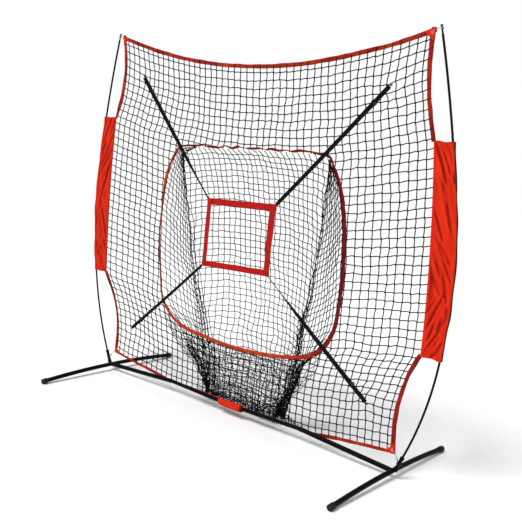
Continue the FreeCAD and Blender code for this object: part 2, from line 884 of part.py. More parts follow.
def make_net_pieces():
    """The net panel, the tapes sewn round it and round its mouth, and the corner patches."""
    pieces = []
    panel_back = -size["net_thickness"] / 2
    outlines = [net_outline(), mouth_outline(1.0)]
    pieces.append(flat_piece("net_panel", outlines, size["net_thickness"], panel_back))
    tape = size["tape_thickness"]
    width = number(size["tape_width"])
    grown = number(size["mouth_scale"])
    mouth = [mouth_outline(grown), mouth_outline(1.003)]
    pieces.append(flat_piece("mouth_tape", mouth, tape, front_layer(1)))
    top_left, top_right = (-TOP_CORNER[0], TOP_CORNER[1]), TOP_CORNER
    top = band(top_left, top_right, -TOP_SAG, (0, -width))
    pieces.append(flat_piece("edge_tape_top", [top], tape, front_layer(1)))
    pieces.append(flat_piece("edge_tape_bottom", [bottom_band(width)], tape, front_layer(1)))
    behind = -(front_layer(1) + tape)
    upper = band(TOP_CORNER, SLEEVE_TOP, -SIDE_SAGS[0], (-width, 0))
    lower = band(SLEEVE_BOTTOM, BOTTOM_CORNER, -SIDE_SAGS[2], (-width, 0))
    for side, name in SIDES:
        strips = []
        for end_name, strip in (("upper", upper), ("lower", lower)):
            outline = strip if side > 0 else mirror_outline(strip)
            strips.append(flat_piece(f"edge_tape_{end_name}_{name}", [outline], tape, behind))
        pieces.append(group("edge_tapes_" + name, strips))
    top_patch = [(*TOP_CORNER, 0), (1052.0, 2072.0, 0), (1000.0, 2113.0, 0)]
    bottom_patch = [(*BOTTOM_CORNER, 0), (1002.0, 115.0, 0), (1053.0, 176.0, 0)]
    patches, eyelets = [], []
    eyelet_spots = ((1044.0, 2112.0), (1048.0, 136.0))
    for side, name in SIDES:
        for end_name, outline in (("top", top_patch), ("bottom", bottom_patch)):
            outline = outline if side > 0 else mirror_outline(outline)
            label = f"patch_{end_name}_{name}"
            patches.append(flat_piece(label, [outline], tape, front_layer(2)))
        for x, z in eyelet_spots:
            eyelets.append(make_eyelet(side * x, z))
    pieces.append(group("corner_patches", patches))
    pieces.append(group("corner_eyelets", eyelets))
    for piece in pieces:
        piece.Placement = NET_FRAME
    return pieces


def make_eyelet(x, z):
    """A pressed metal eyelet on a corner patch."""
    body = new_body("eyelet")
    sketch = new_sketch(body, "XZ_Plane", front_layer(3))
    draw_circle(sketch, x, z, 8.0)
    draw_circle(sketch, x, z, 4.2)
    pad(body, sketch, 1.2)
    return body


# The pocket's level sections from top to bottom: height, half-width at the front, half-width at
# the folds, depth at the folds, and depth in the middle.
POCKET_LEVELS = (
    (1535.0, 560.0, 500.0, 20.0, 30.0),
    (1380.0, 640.0, 510.0, 50.0, 95.0),
    (1100.0, 690.0, 485.0, 65.0, 145.0),
    (800.0, 690.0, 445.0, 75.0, 175.0),
    (560.0, 665.0, 405.0, 85.0, 195.0),
    (400.0, 470.0, 372.0, 90.0, 200.0),
    (8.0, 290.0, 280.0, 90.0, 180.0),
)


def pocket_section(level, inset):
    """A level section of the pocket, moved inwards by inset on every wall."""
    wide, fold, fold_deep, deep = level
    front = number(size["net_thickness"]) / 2 + 2 * CLEARANCE
    run = wide - fold
    slant = math.hypot(run, fold_deep)
    front_x = wide - inset * (run + slant) / fold_deep
    fold_x = fold - inset * (slant - run) / fold_deep
    fold_y = front + fold_deep - inset
    return [
        (-front_x, front + inset, 0),
        (front_x, front + inset, 0),
        (fold_x, fold_y, fold_deep - deep),
        (-fold_x, fold_y, 0),
    ]


def make_ball_pocket():
    """The net bag behind the mouth, hanging to the floor: a lofted shell with an open mouth."""
    body = new_body("ball_pocket")
    wall = number(size["pocket_wall"])
    top, bottom = POCKET_LEVELS[0][0], POCKET_LEVELS[-1][0]
    for kind, inset in (("PartDesign::AdditiveLoft", 0.0), ("PartDesign::SubtractiveLoft", wall)):
        sections = []
        for height, *level in POCKET_LEVELS:
            height = min(max(height, bottom + inset), top - inset)
            section = new_sketch(body, "XY_Plane", height)
            draw_outline(section, pocket_section(level, inset))
            sections.append(section)
        loft = body.newObject(kind, body.Name + "Loft")
        loft.Profile = sections[0]
        loft.Sections = [(section, [""]) for section in sections[1:]]
        loft.Ruled = True
    mouth = new_sketch(body, "XZ_Plane")
    draw_outline(mouth, mouth_outline(0.975))
    cut(body, mouth, wall + 3.0)
    body.Placement = NET_FRAME
    return body


def make_side_sleeve(side, name):
    """A flat fabric sleeve that the pole passes through, open at both ends."""
    body = new_body("side_sleeve_" + name)
    inner_bottom = (SLEEVE_BOTTOM[0] + 1.0, SLEEVE_BOTTOM[1])
    inner_top = (SLEEVE_TOP[0] + 1.0, SLEEVE_TOP[1])
    outer_bottom = (1265.0, 641.0)
    outer_top = (1212.0, 1636.0)
    wall = number(size["sleeve_wall"])
    base = number(size["tube_height"])

    def outline(inset, longer):
        corners = [
            (inner_bottom[0] + inset, inner_bottom[1] - base - longer, -15.0),
            (inner_top[0] + inset, inner_top[1] - base + longer, 0),
            (outer_top[0] - inset, outer_top[1] - base + longer, 38.0),
            (outer_bottom[0] - inset, outer_bottom[1] - base - longer, 0),
        ]
        return corners if side > 0 else mirror_outline(corners)

    skin = new_sketch(body, "XZ_Plane")
    draw_outline(skin, outline(0.0, 0.0))
    pad(body, skin, size["sleeve_thickness"], symmetric=True)
    room = new_sketch(body, "XZ_Plane")
    draw_outline(room, outline(wall, 5.0))
    cut(body, room, size["sleeve_thickness"] - 2 * size["sleeve_wall"], symmetric=True)
    body.Placement = Placement(
        Vector(0, 0, base), Rotation(Vector(1, 0, 0), number(size["pole_tilt"]))
    )
    return body


nodes += make_net_pieces()
nodes.append(make_ball_pocket())
for side, name in SIDES:
    nodes.append(make_side_sleeve(side, name))


# ---------------------------------------------------------------- centre wrap

WRAP_CENTRE = Vector(0, -7.0, 65.0)


def make_wrap():
    """A padded wrap round the middle joint. It is thick in front and split along its rear."""
    start = Vector(-number(size["wrap_length"]) / 2, 0, 0)
    outside = bar("WrapOutside", Placement(WRAP_CENTRE + start, Rotation()), 1.0, size["wrap_length"])
    bind(outside, "Radius", size["wrap_diameter"] / 2)
    tunnel_start = MIDDLE + start * 1.1 + Vector(0, 0, 1.2)
    tunnel = bar("WrapTunnel", Placement(tunnel_start, Rotation()), size["wrap_bore"] / 2, 200.0)
    slit = doc.addObject("Part::Box", "WrapSlit")
    slit.Length = 200.0
    slit.Width = 30.0
    slit.Height = 3.0
    slit.Placement = Placement(tunnel_start + Vector(0, 0, -8.0), Rotation())
    return cut_pieces("centre_wrap", [outside], [tunnel, slit])


def make_flap():
    """The wrap's closing flap: part of a tube's wall from the top of the wrap down its front."""
    body = new_body("wrap_flap")
    sketch = new_sketch(body, "YZ_Plane", -size["wrap_length"] / 2)
    inner = size["wrap_diameter"] / 2 + CLEARANCE
    outer = inner + size["flap_wall"]
    first, last = math.radians(92.0), math.radians(205.0)
    normal = Vector(0, 0, 1)
    arcs = []
    for radius in (outer, inner):
        circle = Part.Circle(Vector(), normal, number(radius))
        arcs.append(sketch.addGeometry(Part.ArcOfCircle(circle, first, last)))
    outside, inside = arcs
    ends = []
    for point in (START, END):
        near = sketch.Geometry[inside].StartPoint if point == START else sketch.Geometry[inside].EndPoint
        far = sketch.Geometry[outside].StartPoint if point == START else sketch.Geometry[outside].EndPoint
        ends.append(sketch.addGeometry(Part.LineSegment(near, far)))
    for arc in arcs:
        sketch.addConstraint(Constraint("Coincident", arc, CENTRE, *ORIGIN))
    for line, point in zip(ends, (START, END)):
        sketch.addConstraint(Constraint("Coincident", line, START, inside, point))
        sketch.addConstraint(Constraint("Coincident", line, END, outside, point))
        sketch.addConstraint(Constraint("PointOnObject", *ORIGIN, line))
    set_constraint(sketch, outer, "Radius", outside)
    set_constraint(sketch, inner, "Radius", inside)
    pad(body, sketch, size["wrap_length"])
    body.Placement = Placement(WRAP_CENTRE, Rotation())
    return body


nodes.append(make_wrap())
nodes.append(make_flap())


# ---------------------------------------------------------------- corner cords, bungees, hooks

def in_net(x, z, front=0.0):
    """A point of the net's plane in the object's frame, front millimetres before it."""
    return NET_FRAME.multVec(Vector(x, -front, z))


def rod_between(label, start, end, radius, gap=0.0):
    """A round cord from start to end, shortened by gap at both ends."""
    along = end - start
    length = along.Length - 2 * gap
    rod = doc.addObject("Part::Cylinder", label.title().replace("_", ""))
    rod.Label = label
    rod.Radius = radius
    rod.Height = length
    lift = Vector(along).normalize() * gap
    rod.Placement = Placement(start + lift, Rotation(Vector(0, 0, 1), along))
    return rod


def ring_round(label, placement, inner, thickness):
    """A ring that lies round a pole or a shank."""
    ring = doc.addObject("Part::Torus", label.title().replace("_", ""))
    ring.Radius1 = inner + thickness / 2
    ring.Radius2 = thickness / 2
    ring.Placement = placement
    return ring


def joined(label, pieces):
    """Several solids fused into one piece."""
    fused = doc.addObject("Part::MultiFuse", label.title().replace("_", "") + "Joined")
    fused.Shapes = pieces
    fused.Label = label
    return fused


def make_top_cord(side, name):
    """The elastic cord from the shank under the knob to the net's top corner."""
    thickness = 3.0
    shank = number(size["tip_diameter"]) / 2
    below_knob = -number(size["knob_height"]) - 8.0
    spot = pole_frame(side, pole_top, below_knob)
    ring = ring_round(f"top_cord_{name}_ring", spot, shank + 0.2, thickness)
    corner = in_net(side * (TOP_CORNER[0] + 2.5), TOP_CORNER[1] + 1.0, 2.4)
    centre = spot.Base
    towards = Vector(corner - centre).normalize()
    start = centre + towards * (shank + 0.2 + thickness / 2)
    cord = rod_between(f"top_cord_{name}_cord", start, corner, thickness / 2 - 0.1)
    return joined("top_cord_" + name, [ring, cord])


def make_bottom_tie(side, name):
    """The hook on the pole socket, and the bungee from it to the net's bottom corner."""
    collar = number(size["socket_diameter"]) / 2
    spot = pole_frame(side, POLE_FOOT, 50.0)
    ring = ring_round(f"corner_hook_{name}_ring", spot, collar + 0.3, 4.0)
    corner = in_net(side * (BOTTOM_CORNER[0] + 1.5), BOTTOM_CORNER[1] - 1.0, 2.4)
    towards = Vector(corner - spot.Base).normalize()
    start = spot.Base + towards * (collar + 0.3 + 2.0)
    middle = start + towards * 14.0
    shank = rod_between(f"corner_hook_{name}_shank", start, middle, 2.6)
    hook = joined("corner_hook_" + name, [ring, shank])
    bungee = rod_between("corner_bungee_" + name, middle, corner, 2.0, gap=0.15)
    return [hook, bungee]


for side, name in SIDES:
    nodes.append(make_top_cord(side, name))
    nodes += make_bottom_tie(side, name)


# ---------------------------------------------------------------- strike-zone target

# The hooks' places on the net, as (x, height), in the net's plane.
NET_HOOK_SPOTS = {
    (-1, "top"): (-846.0, 1885.0),
    (1, "top"): (851.0, 1872.0),
    (-1, "bottom"): (-889.0, 324.0),
    (1, "bottom"): (873.0, 334.0),
}
STRAP_START = 1.0
STRAP_END = 14.0
ADJUSTER_SETBACK = 110.0


def target_corner(right, up, inset=0):
    """A corner of the hung target, which has sheared a little: its edges rise and lean."""
    x = right * (size["target_width"] / 2 - inset)
    z = up * (size["target_tall"] / 2 - inset)
    out = size["target_right"] + x + z * size["target_shift"]
    height = size["target_height"] + z + x * size["target_rise"]
    return out, height


def make_target():
    """The red webbing rectangle."""
    outlines = []
    for inset in (0, size["target_band"]):
        corners = [target_corner(*way, inset) for way in ((-1, 1), (1, 1), (1, -1), (-1, -1))]
        outlines.append([(x, z, 0) for x, z in corners])
    back = size["target_front"] - size["target_thickness"] / 2
    body = flat_piece("target_frame", outlines, size["target_thickness"], back)
    body.Placement = NET_FRAME
    return body


def strap_frame(side, level):
    """The placement at the target's corner, local Z along the strap, local Y its thickness."""
    x, z = target_corner(side, 1 if level == "top" else -1)
    start = in_net(number(x), number(z), number(size["target_front"]))
    end = in_net(*NET_HOOK_SPOTS[side, level], number(size["target_front"]))
    along = end - start
    through = NET_FRAME.Rotation.multVec(Vector(0, 1, 0))
    return Placement(start, Rotation(Vector(), through, along, "ZYX")), along.Length


def make_strap(label, length):
    """A straight elastic strap along its own Z axis, from the target's corner to its hook."""
    body = new_body(label)
    sketch = new_sketch(body, "XY_Plane", STRAP_START)
    x, y = size["strap_width"] / 2, size["strap_thickness"] / 2
    draw_outline(sketch, [(-x, -y, 0), (-x, y, 0), (x, y, 0), (x, -y, 0)])
    pad(body, sketch, length - STRAP_START - STRAP_END)
    return body


def make_adjuster(label):
    """A tri-glide: a flat plastic frame that the strap runs through, with sliding clearance."""
    body = new_body(label)
    slot_x = size["strap_width"] / 2 + 0.4
    slot_y = size["strap_thickness"] / 2 + CLEARANCE
    rim = new_sketch(body, "XY_Plane")
    for x, y in ((slot_x + 3.0, slot_y + 1.8), (slot_x, slot_y)):
        draw_outline(rim, [(-x, -y, 0), (-x, y, 0), (x, y, 0), (x, -y, 0)])
    pad(body, rim, 16.0, symmetric=True)
    return body


def make_net_hook(label):
    """An open plastic hook that the strap ends in, drawn flat in its own XZ plane."""
    body = new_body(label)
    sketch = new_sketch(body, "XZ_Plane", -1.5)
    draw_outline(
        sketch,
        [
            (-9.0, 0.0, 0),
            (-9.0, 8.0, 0),
            (-2.5, 14.0, 0),
            (-2.5, 26.0, 4.0),
            (6.5, 26.0, 0),
            (6.5, 19.0, 0),
            (3.0, 19.0, 0),
            (3.0, 25.0, -1.2),
            (0.5, 25.0, 0),
            (0.5, 14.0, 0),
            (9.0, 8.0, 0),
            (9.0, 0.0, 0),
        ],
    )
    pad(body, sketch, 3.0)
    return body


def make_target_pieces():
    """The target, and its straps, adjusters and net hooks."""
    pieces = [make_target()]
    hooks = []
    for side, name in SIDES:
        for level in ("top", "bottom"):
            frame, length = strap_frame(side, level)
            strap = make_strap(f"target_strap_{level}_{name}", length)
            adjuster = make_adjuster(f"strap_adjuster_{level}_{name}")
            hook = make_net_hook(f"net_hook_{level}_{name}")
            strap.Placement = frame
            setback = Placement(Vector(0, 0, length - ADJUSTER_SETBACK), Rotation())
            adjuster.Placement = frame.multiply(setback)
            at_end = Placement(Vector(0, 0, length - STRAP_END + 0.5), Rotation())
            hook.Placement = frame.multiply(at_end)
            pieces += [strap, adjuster]
            hooks.append(hook)
    pieces.append(group("net_hooks", hooks))
    return pieces


nodes += make_target_pieces()


# ---------------------------------------------------------------- checks and files

def check_and_write():
    """Recomputes, refuses any failed feature or bad shape, and writes one STEP per node."""
    doc.recompute()
    for thing in doc.Objects:
        for word in ("Invalid", "Error"):
            if word in thing.State:
                raise RuntimeError(f"{thing.Label} ({thing.TypeId}): {thing.getStatusString()}")
    os.makedirs("parts", exist_ok=True)
    labels = [node.Label for node in nodes]
    if len(set(labels)) != len(labels):
        raise RuntimeError("two nodes share a name")
    for node in nodes:
        shape = node.Shape
        if shape.isNull() or not shape.isValid() or shape.Volume <= 0:
            raise RuntimeError(f"{node.Label} has no valid shape")
        shape.exportStep(f"parts/{node.Label}.step")
    print(len(nodes), "nodes written")


check_and_write()
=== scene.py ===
import math

import bpy
import numpy as np
from mathutils import Matrix, Vector


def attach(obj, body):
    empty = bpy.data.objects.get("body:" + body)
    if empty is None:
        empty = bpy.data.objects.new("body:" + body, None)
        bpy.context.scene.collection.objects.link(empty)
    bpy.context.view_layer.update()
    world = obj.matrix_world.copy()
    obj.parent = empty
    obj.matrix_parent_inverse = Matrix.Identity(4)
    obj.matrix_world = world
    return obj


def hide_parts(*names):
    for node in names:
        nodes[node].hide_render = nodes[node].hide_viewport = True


# The looks of a bow-framed pitching net: knotted twine, webbing, oxford fabric and elastic, built
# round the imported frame. Lengths are metres; -Y faces the pitcher, +X is the object's right.

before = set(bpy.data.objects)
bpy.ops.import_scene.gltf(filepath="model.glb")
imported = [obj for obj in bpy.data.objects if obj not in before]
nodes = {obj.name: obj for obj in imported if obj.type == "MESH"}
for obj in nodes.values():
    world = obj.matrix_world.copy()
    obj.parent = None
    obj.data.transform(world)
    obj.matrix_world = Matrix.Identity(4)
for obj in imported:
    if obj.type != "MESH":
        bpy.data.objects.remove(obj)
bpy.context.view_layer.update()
STAND = "stand"
TWINE, BAG_TWINE = 0.0028, 0.0022
DOWN = np.array([0.0, 0.0, -1.0])
OUTWARD = np.array([0.0, -1.0, 0.0])
LOWEST = 0.0115  # how low a limp strand's middle may lie, clear of the floor


# ------------------------------------------------------------------ small numeric helpers


def unit(v):
    v = np.asarray(v, float)
    return v / np.maximum(np.linalg.norm(v, axis=-1, keepdims=True), 1e-12)


def smooth_step(t):
    t = np.clip(t, 0.0, 1.0)
    return t * t * (3 - 2 * t)


class Ripple:
    """A smooth seeded random field over points: many plane waves near one wavelength."""

    def __init__(self, seed, wavelength, size=3, waves=28):
        rng = np.random.default_rng(seed)
        way = unit(rng.normal(size=(waves, size)))
        scale = 2 * math.pi / (wavelength * rng.uniform(0.7, 1.6, waves))
        self.way = way * scale[:, None]
        self.phase = rng.uniform(0, 2 * math.pi, waves)
        self.gain = math.sqrt(2.0 / waves)

    def __call__(self, points):
        points = np.asarray(points, float)
        return self.gain * np.sin(points @ self.way.T + self.phase).sum(-1)


def catmull(points, count):
    """A smooth line through the points, sampled evenly along its length."""
    points = np.asarray(points, float)
    ends = [2 * points[0] - points[1]], [2 * points[-1] - points[-2]]
    p = np.concatenate([ends[0], points, ends[1]])
    out = []
    for i in range(1, len(p) - 2):
        t = np.linspace(0, 1, 24, endpoint=i == len(p) - 3)[:, None]
        a, b, c, d = p[i - 1], p[i], p[i + 1], p[i + 2]
        out.append(
            0.5 * (2 * b + (c - a) * t + (2 * a - 5 * b + 4 * c - d) * t**2
                   + (3 * b - a - 3 * c + d) * t**3)
        )
    return even(np.concatenate(out), count)


def lengths(line):
    return np.concatenate([[0], np.cumsum(np.linalg.norm(np.diff(line, axis=0), axis=1))])


def even(line, count):
    """The line resampled at even steps."""
    s = lengths(line)
    t = np.linspace(0, s[-1], count)
    return np.stack([np.interp(t, s, line[:, k]) for k in range(line.shape[1])], 1)


def soften(line, times, closed):
    """Repeated averaging with the neighbours; an open line keeps its ends."""
    line = np.array(line, float)
    for _ in range(times):
        moved = 0.25 * np.roll(line, 1, 0) + 0.5 * line + 0.25 * np.roll(line, -1, 0)
        if not closed:
            moved[0], moved[-1] = line[0], line[-1]
        line = moved
    return line


# ------------------------------------------------------------------ mesh helpers


def add_mesh(name, points, faces, material, body=STAND, slot=None, uv=None, tone=None, along=None):
    """One smooth-shaded piece; uv is one pair per face corner, tone and along one number per point."""
    mesh = bpy.data.meshes.new(name)
    mesh.from_pydata(np.asarray(points, float).tolist(), [], [list(map(int, f)) for f in faces])
    mesh.update()
    if uv is not None:
        layer = mesh.uv_layers.new(name="weave")
        layer.data.foreach_set("uv", np.asarray(uv, np.float32).ravel())
    for word, values in (("tone", tone), ("along", along)):
        if values is not None:
            attribute = mesh.attributes.new(word, "FLOAT", "POINT")
            attribute.data.foreach_set("value", np.asarray(values, np.float32))
    mesh.polygons.foreach_set("use_smooth", [True] * len(mesh.polygons))
    mesh.materials.append(material)
    piece = bpy.data.objects.new(name, mesh)
    bpy.context.scene.collection.objects.link(piece)
    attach(piece, body)
    return piece


class Strands:
    """Collects many round strands as one mesh, and knows how far along its strand each point is."""

    def __init__(self, sides=5):
        self.sides = sides
        self.points, self.faces, self.along = [], [], []
        self.count = 0

    def add(self, line, radius, axis, ends=True):
        line = np.asarray(line, float)
        n = len(line)
        if n < 2:
            return
        way = unit(np.gradient(line, axis=0))
        first = unit(np.cross(way, axis))
        second = np.cross(way, first)
        angle = np.arange(self.sides) * 2 * math.pi / self.sides
        cos, sin = np.cos(angle)[None, :, None], np.sin(angle)[None, :, None]
        around = cos * first[:, None] + sin * second[:, None]
        radius = np.broadcast_to(np.asarray(radius, float), (n,))
        ring = line[:, None] + around * radius[:, None, None]
        self.points.append(ring.reshape(-1, 3))
        self.along.append(np.repeat(lengths(line), self.sides))
        k = np.arange(self.sides)
        rows = np.arange(n - 1)[:, None] * self.sides + self.count
        after = (k + 1) % self.sides
        quads = np.stack([rows + k, rows + after, rows + after + self.sides, rows + k + self.sides], -1)
        self.faces.extend(quads.reshape(-1, 4).tolist())
        if ends:
            last = self.count + (n - 1) * self.sides
            self.faces.append((self.count + k[::-1]).tolist())
            self.faces.append((last + k).tolist())
        self.count += n * self.sides

    def bead(self, centre, radius, turn):
        """A knot: a small twelve-cornered lump, flattened and turned at random."""
        shape = KNOT_POINTS * radius
        self.points.append(centre + shape @ turn)
        self.along.append(np.zeros(len(shape)))
        self.faces.extend((KNOT_FACES + self.count).tolist())
        self.count += len(shape)

    def piece(self, name, material, **more):
        return add_mesh(
            name, np.concatenate(self.points), self.faces, material, along=np.concatenate(self.along), **more
        )


GOLD = (1 + math.sqrt(5)) / 2
KNOT_POINTS = unit(
    np.array(
        [(a * x, b * y, c * z)[k:] + (a * x, b * y, c * z)[:k]
         for k in range(3) for x, y, z, a, b, c in
         [(0, 1, GOLD, 1, s, t) for s in (1, -1) for t in (1, -1)]]
    )
)


def hull_faces(points):
    """The triangles of a small convex solid, outward."""
    found = []
    n = len(points)
    for i in range(n):
        for j in range(i + 1, n):
            for k in range(j + 1, n):
                normal = np.cross(points[j] - points[i], points[k] - points[i])
                side = (points - points[i]) @ normal
                if (side < 1e-9).all():
                    found.append((i, j, k))
                elif (side > -1e-9).all():
                    found.append((i, k, j))
    return np.array(found)


KNOT_FACES = hull_faces(KNOT_POINTS)


def random_turn(rng):
    q, _ = np.linalg.qr(rng.normal(size=(3, 3)))
    return q


def loft(name, sections, material, closed=False, caps=True, tone=None, scale=(1.0, 1.0), **more):
    """A skin over closed sections, (count, corners, 3); closed joins the last section to the first."""
    sections = np.asarray(sections, float)
    n, m, _ = sections.shape
    middle = sections.mean(1)
    run = lengths(np.concatenate([middle, middle[:1]]) if closed else middle)
    outline = lengths(np.concatenate([sections[0], sections[0][:1]]))
    faces, uv = [], []
    for i in range(n if closed else n - 1):
        a, b = i, (i + 1) % n
        for j in range(m):
            k = (j + 1) % m
            faces.append((a * m + j, a * m + k, b * m + k, b * m + j))
            u0, u1 = run[i] * scale[0], run[i + 1] * scale[0]
            v0, v1 = outline[j] * scale[1], outline[j + 1] * scale[1]
            uv += [(u0, v0), (u0, v1), (u1, v1), (u1, v0)]
    if caps and not closed:
        for row, order in ((0, range(m - 1, -1, -1)), (n - 1, range(m))):
            faces.append([row * m + j for j in order])
            uv += [(run[row], outline[j]) for j in order]
    if tone is not None:
        tone = np.asarray(tone, float)
        tone = np.repeat(tone, m) if tone.ndim == 1 else tone.ravel()
    return add_mesh(name, sections.reshape(-1, 3), faces, material, uv=uv, tone=tone, **more)


def strap_sections(line, across, width, thick, cup=None, edge=3):
    """Flat webbing sections along a line: across is the direction of its width, cup a bow of it."""
    line, across = np.asarray(line, float), unit(across)
    n = len(line)
    way = unit(np.gradient(line, axis=0))
    across = unit(across - (across * way).sum(-1, keepdims=True) * way)
    face = np.cross(way, across)
    width = np.broadcast_to(np.asarray(width, float), (n,))
    thick = np.broadcast_to(np.asarray(thick, float), (n,))
    cup = np.zeros(n) if cup is None else np.broadcast_to(np.asarray(cup, float), (n,))
    t = np.linspace(-1, 1, 2 * edge + 1)
    body = np.minimum(1.0, 2.4 * (1 - np.abs(t) ** 3) ** 0.5)
    top = [(x, 0.5 * h) for x, h in zip(t, body)]
    bottom = [(x, -0.5 * h) for x, h in zip(t[::-1], body[::-1])][1:-1]
    out = np.zeros((n, len(top) + len(bottom), 3))
    for k, (x, h) in enumerate(top + bottom):
        offset = h * thick + cup * (1 - x * x)
        out[:, k] = line + across * (x * width / 2)[:, None] + face * offset[:, None]
    return out, face


def stitch_row(strands, line, face, rng, pitch=0.0045, length=0.0032, radius=0.00032, lift=0.0):
    """A row of sewn stitches along a line, each one sunk at both ends."""
    line, face = np.asarray(line, float), unit(face)
    s = lengths(line)
    starts = np.arange(pitch, s[-1] - pitch, pitch)
    for start in starts:
        t = start + np.array([0, 0.2, 0.5, 0.8, 1.0]) * length
        p = np.stack([np.interp(t, s, line[:, k]) for k in range(3)], 1)
        f = np.array([np.interp(start, s, face[:, k]) for k in range(3)])
        rise = np.array([-0.4, 0.7, 1.0, 0.7, -0.4]) * radius + lift
        wander = np.cross(unit(p[-1] - p[0]), f) * rng.normal(0, 0.00012)
        axis = np.cross(unit(p[-1] - p[0]), unit(f))
        strands.add(p + f * rise[:, None] + wander, radius, axis)


# ------------------------------------------------------------------ materials


def node(tree, kind, inputs=None, **settings):
    made = tree.nodes.new("ShaderNode" + kind)
    for key, value in settings.items():
        setattr(made, key, value)
    for key, value in (inputs or {}).items():
        if isinstance(value, bpy.types.NodeSocket):
            tree.links.new(value, made.inputs[key])
        else:
            made.inputs[key].default_value = value
    return made


class Surface:
    """A principled material with helpers for colour, roughness and relief."""

    def __init__(self, name, roughness=0.5, metallic=0.0, sheen=0.0, specular=0.5, coords="Object"):
        self.material = bpy.data.materials.new(name)
        self.material.use_nodes = True
        self.tree = self.material.node_tree
        self.shader = self.tree.nodes["Principled BSDF"]
        for key, value in (
            ("Roughness", roughness), ("Metallic", metallic), ("Sheen Weight", sheen),
            ("Specular IOR Level", specular),
        ):
            self.shader.inputs[key].default_value = value
        if sheen:
            self.shader.inputs["Sheen Roughness"].default_value = 0.45
        self.place = node(self.tree, "TexCoord").outputs[coords]
        self.normal = None

    def stretched(self, scale):
        made = node(self.tree, "Mapping", {"Vector": self.place})
        made.inputs["Scale"].default_value = scale
        return made.outputs["Vector"]

    def noise(self, scale, detail=3.0, stretch=None, distortion=0.0):
        place = self.stretched(stretch) if stretch else self.place
        made = node(self.tree, "TexNoise", {"Vector": place, "Scale": scale, "Detail": detail})
        made.inputs["Distortion"].default_value = distortion
        return made.outputs["Fac"]

    def wave(self, scale, direction="X", place=None, distortion=0.0):
        made = node(
            self.tree, "TexWave", {"Vector": place or self.place, "Scale": scale},
            bands_direction=direction, wave_profile="SIN",
        )
        made.inputs["Distortion"].default_value = distortion
        return made.outputs["Fac"]

    def math(self, kind, a, b=0.0):
        made = self.tree.nodes.new("ShaderNodeMath")
        made.operation = kind
        for socket, value in zip(made.inputs, (a, b)):
            if isinstance(value, bpy.types.NodeSocket):
                self.tree.links.new(value, socket)
            else:
                socket.default_value = value
        return made.outputs[0]

    def ramp(self, factor, *stops):
        made = node(self.tree, "ValToRGB", {"Fac": factor})
        band = made.color_ramp
        for _ in stops[2:]:
            band.elements.new(0.5)
        for element, (place, colour) in zip(band.elements, stops):
            element.position = place
            element.color = (*colour, 1.0)
        return made.outputs["Color"]

    def mix(self, factor, a, b, blend="MIX"):
        made = self.tree.nodes.new("ShaderNodeMix")
        made.data_type = "RGBA"
        made.blend_type = blend
        for key, value in ((0, factor), (6, a), (7, b)):
            if isinstance(value, bpy.types.NodeSocket):
                self.tree.links.new(value, made.inputs[key])
            else:
                made.inputs[key].default_value = value if key == 0 else (*value, 1.0)
        return made.outputs[2]

    def colour(self, socket):
        self.tree.links.new(socket, self.shader.inputs["Base Color"])

    def rough(self, factor, low, high):
        made = node(self.tree, "MapRange", {"Value": factor, "To Min": low, "To Max": high})
        self.tree.links.new(made.outputs["Result"], self.shader.inputs["Roughness"])

    def relief(self, height, distance, strength=1.0):
        inputs = {"Height": height, "Distance": distance, "Strength": strength}
        if self.normal is not None:
            inputs["Normal"] = self.normal
        self.normal = node(self.tree, "Bump", inputs).outputs["Normal"]
        self.tree.links.new(self.normal, self.shader.inputs["Normal"])

    def attribute(self, name):
        return node(self.tree, "Attribute", attribute_name=name).outputs["Fac"]


def make_powder_coat():
    s = Surface("powder_coat_finish", roughness=0.38, specular=0.06)
    peel = s.noise(900.0, 2.0)
    cloud = s.noise(7.0, 4.0)
    s.colour(s.ramp(cloud, (0.3, (0.001, 0.001, 0.001)), (0.75, (0.004, 0.004, 0.0043))))
    s.rough(s.noise(60.0, 5.0), 0.30, 0.55)
    s.relief(peel, 0.00025, 0.6)
    s.relief(s.noise(240.0, 3.0, (1.0, 1.0, 0.15)), 0.0002, 0.25)
    return s.material


def make_fibreglass():
    s = Surface("fibreglass_finish", roughness=0.35, specular=0.07)
    grain = s.noise(300.0, 4.0, (1.0, 1.0, 0.02))
    s.colour(s.ramp(grain, (0.3, (0.001, 0.001, 0.001)), (0.7, (0.0045, 0.0045, 0.005))))
    s.rough(s.noise(30.0, 4.0), 0.25, 0.45)
    s.relief(grain, 0.0002, 0.4)
    return s.material


def make_rubber():
    s = Surface("rubber_finish", roughness=0.7, specular=0.35)
    s.colour(s.ramp(s.noise(35.0, 5.0), (0.35, (0.002, 0.002, 0.002)), (0.8, (0.007, 0.0068, 0.0065))))
    s.rough(s.noise(120.0, 3.0), 0.55, 0.8)
    s.relief(s.noise(1400.0, 2.0), 0.0002, 0.5)
    return s.material


def make_plastic():
    s = Surface("moulded_plastic_finish", roughness=0.4, specular=0.5)
    s.colour(s.ramp(s.noise(50.0, 4.0), (0.3, (0.002, 0.002, 0.002)), (0.8, (0.007, 0.007, 0.0075))))
    s.rough(s.noise(200.0, 3.0), 0.32, 0.5)
    s.relief(s.noise(2200.0, 2.0), 0.0001, 0.5)
    return s.material


def make_steel(name, tint, low, high):
    s = Surface(name, roughness=0.35, metallic=1.0)
    brushed = s.noise(500.0, 3.0, (1.0, 1.0, 0.06))
    dark = tuple(0.72 * c for c in tint)
    s.colour(s.ramp(s.noise(90.0, 5.0), (0.3, dark), (0.7, tint)))
    s.rough(brushed, low, high)
    s.relief(brushed, 0.00012, 0.35)
    return s.material


